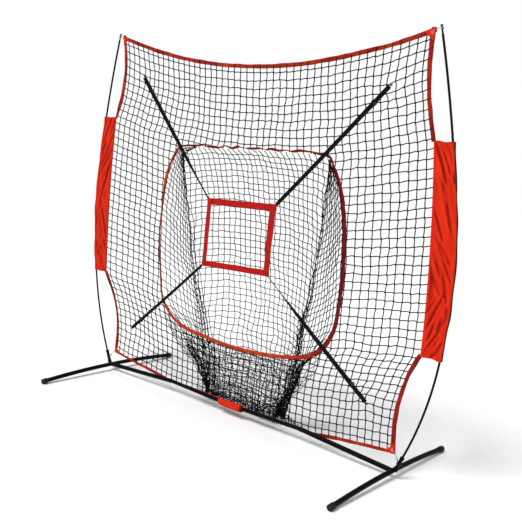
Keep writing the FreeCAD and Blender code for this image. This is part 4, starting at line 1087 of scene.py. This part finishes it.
def make_edge_tape(name, flat, inward, tone, replaced, width=0.021, roll=0.0, seed=0):
    """Binding folded over the net's edge: a flattened tube, a little wavy, sewn along both sides."""
    count = max(24, int(lengths(flat)[-1] / 0.009))
    flat = even(flat, count)
    inside = in_net_plane(flat)
    if np.sign((inside @ np.array(inward)).mean()) < 0:
        inside = -inside
    ripple, slow = Ripple(60 + seed, 0.10, 2), Ripple(80 + seed, 0.34, 2)
    flat = flat + inside * (width * 0.42 + 0.0006 * ripple(flat))[:, None]
    line = lift_line(flat, 0.0004)
    across = np.stack([inside[:, 0], np.zeros(count), inside[:, 1]], 1)
    across = turned(across, np.gradient(line, axis=0), roll + 0.12 * slow(flat))
    wide = width * (1 + 0.045 * ripple(flat + 3.0))
    sections, face = strap_sections(line, across, wide, 0.0034 + 0.0006 * slow(flat), 0.0006)
    shade = tone + 0.10 * slow(flat * 1.7)
    tape = loft(name, sections, binding, tone=shade, slot="red_binding")
    if replaced:
        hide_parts(*replaced)
    sewn = Strands(4)
    rng = np.random.default_rng(90 + seed)
    sign = 1.0 if (face @ OUTWARD).mean() > 0 else -1.0
    for way in (1, -1):
        row = line + across * (0.28 * wide)[:, None] + unit(face) * (sign * way * 0.0017)
        stitch_row(sewn, row, face * sign * way, rng)
    sewn.piece(name + "_stitches", red_thread, slot="red_binding")
    return tape


make_mouth_tape()
make_edge_tape("top_binding", top_edge, (0, -1), 0.46, ["edge_tape_top"], 0.022, seed=1)
for side, edges, word in ((-1, left_edges, "left"), (1, right_edges, "right")):
    lower, _, upper = edges
    make_edge_tape(
        f"{word}_upper_binding", upper, (-side, 0), 0.50, ["edge_tapes_" + word], 0.024, seed=2 + side
    )
    make_edge_tape(f"{word}_lower_binding", lower, (-side, 0), 0.60, [], 0.024, seed=5 + side)
make_edge_tape("bottom_binding", hem, (0, 1), 0.45, ["edge_tape_bottom"], 0.019, seed=9)


# ------------------------------------------------------------------ corner patches and cords


def make_patch(name, corners, front, seed):
    """A three-cornered fabric patch sewn on a corner of the net, slightly quilted by its stitches."""
    a, b, c = (np.array(p) for p in corners)
    rows = 14
    points, tri = [], []
    index = {}
    ripple = Ripple(seed, 0.05, 2)
    for layer, offset in ((0, front + 0.0011), (1, front)):
        for i in range(rows + 1):
            for j in range(rows + 1 - i):
                u, v = i / rows, j / rows
                flat = a * (1 - u - v) + b * u + c * v
                rim = min(u, v, 1 - u - v)
                puff = 0.0016 * min(1.0, rim * 9) * (1 if layer == 0 else 0)
                p = net_surface(np.array([flat[0]]), np.array([flat[1]]))[0]
                p[1] -= offset + puff + 0.0009 * ripple(flat)
                index[layer, i, j] = len(points)
                points.append(p)
    uv_of = {}
    for (layer, i, j), k in index.items():
        uv_of[k] = (i / rows * np.linalg.norm(b - a), j / rows * np.linalg.norm(c - a))
    for layer in (0, 1):
        for i in range(rows):
            for j in range(rows - i):
                first = (index[layer, i, j], index[layer, i + 1, j], index[layer, i, j + 1])
                tri.append(first if layer else first[::-1])
                if j < rows - i - 1:
                    second = (index[layer, i + 1, j], index[layer, i + 1, j + 1], index[layer, i, j + 1])
                    tri.append(second if layer else second[::-1])
    border = [(i, 0) for i in range(rows)] + [(rows - i, i) for i in range(rows)]
    border += [(0, rows - i) for i in range(rows)]
    for (i, j), (k, m) in zip(border, border[1:] + border[:1]):
        tri.append((index[0, i, j], index[0, k, m], index[1, k, m], index[1, i, j]))
    uv = [uv_of[k] for face in tri for k in face]
    patch = add_mesh(name, points, tri, oxford, slot="red_fabric", uv=uv)
    sewn = Strands(4)
    rng = np.random.default_rng(seed)
    middle = (a + b + c) / 3
    ring = [p + (middle - p) * 0.10 for p in (a, b, c, a)]
    for p, q in zip(ring[:-1], ring[1:]):
        t = np.linspace(0, 1, 16)[:, None]
        flat = p + (q - p) * t
        line = net_surface(flat[:, 0].copy(), flat[:, 1].copy())
        line[:, 1] -= front + 0.0011 + 0.0012
        stitch_row(sewn, line, np.tile(OUTWARD, (16, 1)), rng)
    sewn.piece(name + "_stitches", red_thread, slot="red_binding")
    return patch


def spun_cord(name, path, radius, replaced):
    """A thin braided cord drawn tight between two points."""
    line = catmull(path, max(12, int(lengths(np.array(path, float))[-1] / 0.0012)))
    strands = Strands(10)
    strands.add(line, radius, (0.2, 1.0, 0.1))
    piece = strands.piece(name, grey_cord, slot="grey_cord")
    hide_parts(replaced)
    return piece


for side, word in ((-1, "left"), (1, "right")):
    top = [flipped(p, side) for p in (TOP_CORNER, (1.052, 2.072), (1.000, 2.113))]
    low = [flipped(p, side) for p in (LOW_CORNER, (1.002, 0.115), (1.053, 0.176))]
    if side < 0:
        top, low = [top[0], top[2], top[1]], [low[0], low[2], low[1]]
    make_patch(f"top_patch_{word}", top, 0.0022, 110 + side)
    make_patch(f"low_patch_{word}", low, 0.0022, 120 + side)
    inner_x, outer_x = side * 1.0465, side * 1.0862
    eye_y = net_y(2.112) - 0.0045
    spun_cord(
        f"corner_cord_{word}",
        [(inner_x, eye_y, 2.1125), (side * 1.060, eye_y - 0.001, 2.1215), (side * 1.076, -0.0625, 2.1290),
         (outer_x, -0.0665, 2.1300)],
        0.0015, "top_cord_" + word,
    )
    coil = Strands(8)
    t = np.linspace(0, 1, 90)
    turn = 2 * math.pi * 3.2 * t
    centre = side * 1.0885, -0.0620
    coil.add(
        np.stack([centre[0] + 0.0056 * np.cos(turn), centre[1] + 0.0056 * np.sin(turn),
                  2.1225 + 0.0095 * t], 1),
        0.0014, (0, 0, 1),
    )
    coil.piece(f"cord_lashing_{word}", grey_cord, slot="grey_cord")
    spun_cord(
        f"hook_cord_{word}",
        [(side * 1.0490, net_y(0.136) - 0.0055, 0.1350), (side * 1.0600, 0.0085, 0.1250),
         (side * 1.0720, 0.0105, 0.1120), (side * 1.0815, 0.0070, 0.1010)],
        0.0014, "corner_bungee_" + word,
    )
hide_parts("corner_patches")


# ------------------------------------------------------------------ sleeves


def pole_centre(side):
    """The pole's middle line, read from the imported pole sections: y and x by height."""
    word = "right" if side > 0 else "left"
    points = []
    for part in ("lower", "middle", "upper"):
        mesh = nodes[f"pole_{part}_{word}"].data
        co = np.zeros(len(mesh.vertices) * 3, np.float32)
        mesh.vertices.foreach_get("co", co)
        points.append(co.reshape(-1, 3))
    points = np.concatenate(points)
    points = points[(points[:, 2] > 0.45) & (points[:, 2] < 1.85)]
    fits = [np.polyfit(points[:, 2] - 1.1, points[:, axis], 6) for axis in (0, 1)]
    return lambda z: (float(np.polyval(fits[0], z - 1.1)), float(np.polyval(fits[1], z - 1.1)))


def make_sleeve(side):
    """Oxford cloth sewn to the net's edge and wrapped round the pole, creased by its pull."""
    word = "right" if side > 0 else "left"
    rng = np.random.default_rng(200 + side)
    pole = pole_centre(side)
    seam = even((right_edges if side > 0 else left_edges)[1], 170)
    loop, across = 0.0092, 26
    folds = []
    for _ in range(32):
        height = rng.uniform(0.62, 1.66)
        falling = height > 0.95 + rng.normal(0, 0.08)
        angle = (-1 if falling else 1) * rng.uniform(0.95, 1.40)
        folds.append((
            rng.uniform(0.005, 0.12), height, angle, rng.uniform(0.035, 0.13),
            rng.uniform(0.0045, 0.0095), rng.uniform(0.0030, 0.0075) * rng.choice([-1, 1], p=[0.5, 0.5]),
        ))
    slow = Ripple(210 + side, 0.16, 2)

    def crease(u, z):
        total = 0.0016 * slow(np.stack([u, z], -1))
        for cu, cz, angle, long, wide, high in folds:
            du, dz = u - cu, z - cz
            a = du * math.cos(angle) + dz * math.sin(angle)
            b = -du * math.sin(angle) + dz * math.cos(angle)
            total = total + high * np.exp(-((a / long) ** 4) - (b / wide) ** 2)
        return total

    sections, crease_shade_rows = [], []
    for x_seam, z in seam:
        x_in = x_seam - side * 0.010
        px, py = pole(z)
        grow = 0.0025 * math.exp(-((min(z - SLEEVE_BOTTOM[1], SLEEVE_TOP[1] - z) / 0.03) ** 2))
        radius = loop + grow + 0.0012 * float(slow(np.array([7.0, z])))
        t = np.linspace(0, 1, across)
        y_net = float(net_surface(np.array([x_in]), np.array([z]))[0, 1])
        front = np.stack([x_in + (px - x_in) * t, (y_net - 0.0032) + (py - radius - y_net + 0.0032) * t], 1)
        turn = np.linspace(-0.5 * math.pi, 0.5 * math.pi, 13)[1:-1]
        arc = np.stack([px + side * radius * np.cos(turn), py + radius * np.sin(turn)], 1)
        back = np.stack([px + (x_in - px) * t, (py + radius) + (y_net + 0.0028 - py - radius) * t], 1)
        outline = np.concatenate([front, arc, back])
        u = np.concatenate([[0], np.cumsum(np.linalg.norm(np.diff(outline, axis=0), axis=1))])
        normal = np.stack([np.gradient(outline[:, 1]), -np.gradient(outline[:, 0])], 1)
        normal = unit(normal) * side
        hold = np.minimum(1, np.minimum(u, u[-1] - u) / 0.015)
        half = u[-1] / 2
        near_pole = 1 - 0.85 * np.exp(-(((u - half) / 0.022) ** 4))
        bump = crease(np.where(u < half, u, u[-1] - u), np.full(len(u), z)) * hold * near_pole
        bump = np.maximum(bump, -0.0045 + 0.0040 * np.exp(-(((u - half) / 0.030) ** 4)))
        outline = outline + normal * bump[:, None]
        # Painted shade: the tone darkens the cloth a little where it lies flat, not at all on the crease
        # ridges, and most in the hollows between creases.
        shape = bump - np.convolve(np.pad(bump, 4, "edge"), np.ones(9) / 9, "valid")
        crease_shade_rows.append(np.clip(0.25 - shape / 0.0024, 0, 1) ** 1.3 * hold)
        sections.append(np.column_stack([outline, np.full(len(outline), z)]))
    sections = np.array(sections)
    # The end hems are doubled, and wander a little up and down.
    wander = Ripple(220 + side, 0.07, 1)
    for end in (0, -1):
        for k in range(5):
            row = k if end == 0 else -1 - k
            sections[row, :, 2] += 0.0022 * wander(sections[row, :, :1]) * (1 - k / 5)
    n, m, _ = sections.shape
    faces, uv = [], []
    normals = np.cross(np.gradient(sections, axis=0), np.gradient(sections, axis=1))
    normals = unit(normals)
    half_way = sections[n // 2, :, :2]
    sign = np.sign(((half_way - half_way.mean(0)) * normals[n // 2, :, :2]).sum())
    hem_rows = np.minimum(np.arange(n), n - 1 - np.arange(n))
    thick = np.where(hem_rows < 4, 0.0014, 0.0007)[:, None, None]
    inner = sections - normals * sign * thick
    points = np.concatenate([sections.reshape(-1, 3), inner.reshape(-1, 3)])
    run = lengths(sections[:, m // 2])
    girth = np.concatenate([[0], np.cumsum(np.linalg.norm(np.diff(sections[n // 2], axis=0), axis=1))])
    for layer in (0, 1):
        base = layer * n * m
        for i in range(n - 1):
            for j in range(m - 1):
                quad = [(i, j), (i, j + 1), (i + 1, j + 1), (i + 1, j)]
                if (layer == 1) == (sign > 0):
                    quad = quad[::-1]
                faces.append([base + a * m + b for a, b in quad])
                uv += [(girth[b], run[a]) for a, b in quad]
    for i, flip in ((0, False), (n - 1, True)):
        for j in range(m - 1):
            quad = [(0, j), (0, j + 1), (1, j + 1), (1, j)]
            quad = quad if flip else quad[::-1]
            faces.append([layer * n * m + i * m + b for layer, b in quad])
            uv += [(girth[b], run[i]) for layer, b in quad]
    for j in (0, m - 1):
        for i in range(n - 1):
            faces.append([i * m + j, (i + 1) * m + j, n * m + (i + 1) * m + j, n * m + i * m + j])
            uv += [(girth[j], run[i]), (girth[j], run[i + 1]), (girth[j], run[i + 1]), (girth[j], run[i])]
    painted_crease_shade = np.tile(np.array(crease_shade_rows).reshape(-1), 2)
    cloth = add_mesh(f"sleeve_cloth_{word}", points, faces, oxford, slot="red_fabric", uv=uv, tone=painted_crease_shade)
    cloth.data.materials.append(channel_cloth)
    columns = [(face[0] % (n * m)) % m for face in faces]
    dark = [1 if across + 2 <= j <= across + 8 else 0 for j in columns]
    cloth.data.polygons.foreach_set("material_index", dark)
    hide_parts("side_sleeve_" + word)
    sewn = Strands(4)
    facing = normals * sign
    for row in (np.s_[:, 2], np.s_[:, m - 3], 5, n - 6, np.s_[:, across - 4], np.s_[:, across + 13]):
        stitch_row(sewn, sections[row], facing[row], rng, lift=0.0002)
    sewn.piece(f"sleeve_stitches_{word}", red_thread, slot="red_fabric")


for side in (-1, 1):
    make_sleeve(side)


# ------------------------------------------------------------------ centre wrap and its flap


WRAP_END = 0.085
WRAP_Y, WRAP_Z = -0.0062, 0.0648


def make_centre_wrap():
    """A padded wrap round the tube: thick, creased along its length, narrower at its left end."""
    rng = np.random.default_rng(300)
    count, around = 84, 56
    slow, quick = Ripple(301, 0.06), Ripple(302, 0.02)
    xs = np.linspace(-WRAP_END, WRAP_END, count)
    angle = np.linspace(0, 2 * math.pi, around, endpoint=False)
    outer, inner = [], []
    for x in xs:
        t = (x + WRAP_END) / (2 * WRAP_END)
        closing = smooth_step(t / 0.16)
        radius = 0.0150 + 0.0053 * closing
        radius *= 1 - 0.06 * smooth_step((t - 0.93) / 0.07)
        ring = []
        for a in angle:
            squash = 1 + 0.05 * math.cos(2 * (a - 0.6))
            crease = 0.0012 * math.exp(-(((a - 3.9) / 0.16) ** 2))
            crease += 0.0009 * math.exp(-(((a - 2.75) / 0.12) ** 2))
            r = radius * squash - crease * 1.2
            p = np.array([x, WRAP_Y + r * math.cos(a), WRAP_Z + r * math.sin(a)])
            r += 0.0007 * float(slow(p)) + 0.0003 * float(quick(p))
            ring.append((x, WRAP_Y + r * math.cos(a), WRAP_Z + r * math.sin(a)))
        outer.append(ring)
        hole = 0.0128
        inner.append([(x, hole * math.cos(a), 0.0622 + abs(x) * 0.027 + hole * math.sin(a)) for a in angle])
    outer, inner = np.array(outer), np.array(inner)

    def lip(outside, inside, push):
        """A rolled end: the outer skin turns in to meet the tunnel."""
        rows = []
        for t in np.linspace(0, 1, 7)[1:-1]:
            ring = outside + (inside - outside) * (0.5 - 0.5 * math.cos(math.pi * t))
            ring = ring + np.array([push * math.sin(math.pi * t), 0, 0])
            rows.append(ring)
        return rows

    right_end, left_end = lip(outer[-1], inner[-1], 0.0004), lip(inner[0], outer[0], -0.0016)
    sections = np.array(list(outer) + right_end + list(inner[::-1]) + left_end)
    # Painted shadow and shade: the tone darkens the whole wrap a little, its right end most, and its
    # underside.
    shade = 0.15 + 0.75 * smooth_step((sections[..., 0] - 0.074) / 0.008)
    shade = shade + 0.4 * smooth_step((0.052 - sections[..., 2]) / 0.01)
    wrap = loft("padded_wrap", sections, oxford, closed=True, tone=shade, slot="red_fabric")
    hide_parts("centre_wrap")
    sewn = Strands(4)
    for row in (5, count - 6):
        ring = np.concatenate([outer[row], outer[row][:1]])
        face = ring - outer[row].mean(0)
        stitch_row(sewn, ring, face, rng, lift=0.0002)
    sewn.piece("wrap_stitches", red_thread, slot="red_fabric")


def make_wrap_flap():
    """The closing flap: a curved leaf of doubled cloth with a sewn border and hook tape inside."""
    rng = np.random.default_rng(310)
    count, steps = 60, 26
    slow = Ripple(311, 0.05)
    start, end = math.radians(94), math.radians(203)
    centre_y, centre_z = -0.007, 0.065

    def leaf(radius, thick, x_from, x_to, a_from, a_to, bump):
        sections = []
        for x in np.linspace(x_from, x_to, count):
            t = (x - x_from) / (x_to - x_from)
            corner = 0.012 * (1 - smooth_step(min(t, 1 - t) / 0.07)) / radius
            rows = []
            for layer in (0, 1):
                angles = np.linspace(a_from, a_to - corner, steps)
                if layer:
                    angles = angles[::-1]
                for a in angles:
                    edge = min(a - a_from, a_to - corner - a) * radius
                    r = radius + (thick * min(1.0, 0.35 + edge / 0.003) if layer == 0 else 0.0)
                    p = np.array([x, centre_y + r * math.cos(a), centre_z + r * math.sin(a)])
                    r += bump * float(slow(p))
                    rows.append((x, centre_y + r * math.cos(a), centre_z + r * math.sin(a)))
            sections.append(rows)
        return np.array(sections)

    sections = leaf(0.0209, 0.0014, -0.0845, 0.0845, start, end, 0.00060)
    # Painted shade: the tone darkens two crease lines along the flap, its lower side and its right end.
    around = np.arctan2(sections[..., 2] - centre_z, sections[..., 1] - centre_y) % (2 * math.pi)
    wave = 0.05 * slow(sections * 0.7)
    shade = 0.75 * np.exp(-(((around - 2.62 + wave) / 0.10) ** 2))
    shade = shade + 0.45 * np.exp(-(((around - 2.0 - wave) / 0.07) ** 2))
    shade = shade + 0.5 * smooth_step((around - 3.1) / 0.35)
    shade = shade + 0.6 * smooth_step((sections[..., 0] - 0.076) / 0.006)
    flap = loft("flap_cloth", sections, oxford, body="flap", tone=np.clip(shade, 0, 1), slot="red_fabric")
    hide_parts("wrap_flap")
    sewn = Strands(4)
    inset = 0.10
    for x in (-0.080, 0.080):
        a = np.linspace(start + inset, end - 2.2 * inset, 24)
        line = np.stack([np.full(24, x), centre_y + 0.0225 * np.cos(a), centre_z + 0.0225 * np.sin(a)], 1)
        face = np.stack([np.zeros(24), np.cos(a), np.sin(a)], 1)
        stitch_row(sewn, line, face, rng)
    for a in (start + inset, end - 2.2 * inset):
        x = np.linspace(-0.080, 0.080, 24)
        face = np.tile([0, math.cos(a), math.sin(a)], (24, 1))
        line = np.array([0, centre_y, centre_z]) + 0.0225 * face
        line[:, 0] = x
        stitch_row(sewn, line, face, rng)
    sewn.piece("flap_stitches", red_thread, body="flap", slot="red_fabric")
    band = leaf(0.02035, 0.0005, -0.072, 0.072, end - 0.9, end - 0.22, 0.0)
    loft("flap_hook_tape", band, hook_tape, body="flap", slot="black_plastic")


make_centre_wrap()
make_wrap_flap()


# ------------------------------------------------------------------ target and its straps


def target_outline():
    """The frame's four outer corners: top left, top right, bottom right, bottom left."""
    keys = (("top", "left"), ("top", "right"), ("bottom", "right"), ("bottom", "left"))
    return [np.array(CORNERS[k]) for k in keys]


# Each corner's sewn box and its cross: along one band and along the other. The step from the sixth
# point to the seventh isn't sewn.
NEAR, FAR = 0.004, 0.025
BOX_STITCH = (
    (NEAR, NEAR), (FAR, NEAR), (FAR, FAR), (NEAR, FAR), (NEAR, NEAR), (FAR, FAR), (NEAR, FAR), (FAR, NEAR),
)


def make_target():
    """Four lengths of webbing, lapped and box-stitched at the corners."""
    rng = np.random.default_rng(400)
    tl, tr, br, bl = target_outline()
    ripple = Ripple(401, 0.22)
    bands = (
        ("target_top", tl, tr, (0.036, 0.039), bl, br, 0.0),
        ("target_right", tr, br, (0.046, 0.040), tl, bl, 0.0021),
        ("target_bottom", br, bl, (0.035, 0.033), tr, tl, 0.0),
        ("target_left", bl, tl, (0.032, 0.034), br, tr, 0.0021),
    )
    sewn = Strands(4)
    first = None
    for name, a, b, (w0, w1), a_in, b_in, front in bands:
        t = np.linspace(0, 1, 90)[:, None]
        width = (w0 + (w1 - w0) * t[:, 0]) * (1 + 0.02 * np.sin(t[:, 0] * 17 + w0 * 900))
        inward = unit(unit(a_in - a) * (1 - t) + unit(b_in - b) * t)
        line = a + (b - a) * t + inward * (width / 2)[:, None]
        line = line + np.stack([np.zeros(90), 0.0011 * ripple(line * 1.3) - front, np.zeros(90)], 1)
        line[:, 2] += 0.0010 * np.sin(np.pi * t[:, 0]) * (-1 if "top" in name else 1)
        way = np.gradient(line, axis=0)
        across = turned(inward, way, 0.05 * ripple(line))
        sections, face = strap_sections(line, across, width, 0.0019, 0.0004, edge=5)
        piece = loft(name, sections, webbing, slot="red_webbing")
        first = first or piece
        sign = 1.0 if (face @ OUTWARD).mean() > 0 else -1.0
        for offset in (-0.38, 0.38):
            row = line + across * (offset * width)[:, None] + unit(face) * sign * 0.0011
            stitch_row(sewn, row, face * sign, rng)
    for corner, one, two in ((tl, tr, bl), (tr, br, tl), (br, bl, tr), (bl, tl, br)):
        u, v = unit(one - corner), unit(two - corner)
        base = corner + OUTWARD * 0.0036
        box = [base + u * a + v * b for a, b in BOX_STITCH]
        for k, (p, q) in enumerate(zip(box[:-1], box[1:])):
            if k == 5:
                continue
            t = np.linspace(0, 1, 8)[:, None]
            stitch_row(sewn, p + (q - p) * t, np.tile(OUTWARD, (8, 1)), rng, pitch=0.0036, length=0.0026)
    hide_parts("target_frame")
    sewn.piece("target_stitches", red_thread, slot="red_webbing")


# How each strap is twisted along its length, 0 at the target: (share of its length, quarter turns).
TWISTS = {
    ("top", "left"): ((0, -0.33), (0.12, -0.35), (0.26, -0.15), (0.38, 0.10), (0.6, 0.28), (1, 0.35)),
    ("top", "right"): ((0, 0.05), (0.06, -0.05), (0.5, -0.1), (1, -0.1)),
    ("bottom", "left"): ((0, 0.25), (0.1, 0.2), (0.5, 0.15), (1, 0.1)),
    ("bottom", "right"): (
        (0, -0.50), (0.10, -0.52), (0.20, -0.40), (0.34, 0.0), (0.5, 0.22), (0.85, 0.3), (1, 0.0),
    ),
}


def make_strap(key):
    level, word = key
    start, end = np.array(CORNERS[key]), np.array(HOOKS[key])
    way = unit(end - start)
    count = 130
    t = np.linspace(0, 1, count)
    line = (start - way * 0.004) + (end - start + way * 0.004) * t[:, None]
    line = line + np.outer(np.sin(np.pi * t), (0, -0.001, -0.004))
    line[:, 1] -= 0.0012
    across = unit(np.cross(way, (0, 1, 0)))
    share, quarter = zip(*TWISTS[key])
    angle = soften(np.interp(t, share, quarter)[:, None], 40, False)[:, 0] * math.pi / 2
    wide = np.tile(across, (count, 1))
    wide = turned(wide, np.tile(way, (count, 1)), angle * (1 if word == "left" else -1))
    stretch = 0.0222 + 0.0014 * smooth_step((t - 0.5) / 0.4)
    sections, face = strap_sections(line, wide, stretch, 0.0017, 0.0003, edge=4)
    strap = loft(f"strap_{level}_{word}", sections, elastic, slot="black_elastic")
    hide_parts(f"target_strap_{level}_{word}")
    # The tail is doubled back from the hook to the adjuster, and sewn down at the target.
    tail_t = np.linspace(1.0, 1.0 - 0.150 / np.linalg.norm(end - start), 40)
    tail = np.stack([np.interp(tail_t, t, line[:, k]) for k in range(3)], 1)
    tail_wide = np.stack([np.interp(tail_t, t, wide[:, k]) for k in range(3)], 1)
    tail_face = np.stack([np.interp(tail_t, t, face[:, k]) for k in range(3)], 1)
    sign = 1.0 if (tail_face @ OUTWARD).mean() > 0 else -1.0
    tail = tail - unit(tail_face) * sign * (0.0021 + 0.0006 * np.sin(np.linspace(0, math.pi, 40)))[:, None]
    sections, _ = strap_sections(tail, tail_wide, 0.0222, 0.0016, 0.0002, edge=4)
    doubled = loft(f"strap_tail_{level}_{word}", sections, elastic, slot="black_elastic")


make_target()
for key in CORNERS:
    make_strap(key)


# ------------------------------------------------------------------ studio


def make_studio():
    mesh = bpy.data.meshes.new("floor")
    size = 30.0
    corners = [(x * size, y * size, -0.0006) for x, y in ((-1, -1), (1, -1), (1, 1), (-1, 1))]
    mesh.from_pydata(corners, [], [(0, 1, 2, 3)])
    mesh.materials.append(make_floor())
    floor = bpy.data.objects.new("floor", mesh)
    bpy.context.scene.collection.objects.link(floor)
    scene = bpy.context.scene
    world = scene.world or bpy.data.worlds.new("studio")
    scene.world = world
    world.use_nodes = True
    tree = world.node_tree
    sky = tree.nodes.get("Background") or tree.nodes.new("ShaderNodeBackground")
    sky.inputs["Color"].default_value = (1.0, 1.0, 1.0, 1.0)
    seen = node(tree, "LightPath").outputs["Is Camera Ray"]
    strength = node(tree, "MapRange", {"Value": seen, "To Min": 0.44, "To Max": 1.0})
    tree.links.new(strength.outputs["Result"], sky.inputs["Strength"])
    sun = bpy.data.lights.new("sun", "SUN")
    sun.energy, sun.angle = 2.45, math.radians(22)
    lamp = bpy.data.objects.new("sun", sun)
    lamp.rotation_euler = (Vector((0, 0, 0)) - Vector((-0.6, -3.2, 4.6))).to_track_quat("-Z", "Y").to_euler()
    scene.collection.objects.link(lamp)
    for name, place, aim, size, power in (
        ("key", (3.6, -3.6, 3.4), (0, 0, 1.0), 1.6, 40.0),
        ("rim", (-3.0, 4.0, 3.6), (0, 0, 1.0), 2.0, 30.0),
    ):
        light = bpy.data.lights.new(name, "AREA")
        light.shape, light.size, light.energy = "DISK", size, power
        lamp = bpy.data.objects.new(name, light)
        lamp.location = place
        lamp.rotation_euler = (Vector(aim) - Vector(place)).to_track_quat("-Z", "Y").to_euler()
        scene.collection.objects.link(lamp)
    scene.view_settings.view_transform = "Standard"
    scene.view_settings.look = "None"


def make_camera():
    azimuth, elevation, roll = math.radians(39.27), math.radians(8.69), math.radians(4.98)
    level = math.cos(elevation)
    back = Vector((math.sin(azimuth) * level, -math.cos(azimuth) * level, math.sin(elevation)))
    right = Vector((math.cos(azimuth), math.sin(azimuth), 0))
    up = back.cross(right)
    rolled_right = right * math.cos(roll) + up * math.sin(roll)
    rolled_up = -right * math.sin(roll) + up * math.cos(roll)
    data = bpy.data.cameras.new("camera")
    data.sensor_width, data.lens = 36.0, 53.84
    camera = bpy.data.objects.new("camera", data)
    turn = Matrix((rolled_right, rolled_up, back)).transposed()
    camera.matrix_world = Matrix.Translation((2.794, -3.263, 1.5675)) @ turn.to_4x4()
    bpy.context.scene.collection.objects.link(camera)
    bpy.context.scene.camera = camera


make_studio()
make_camera()
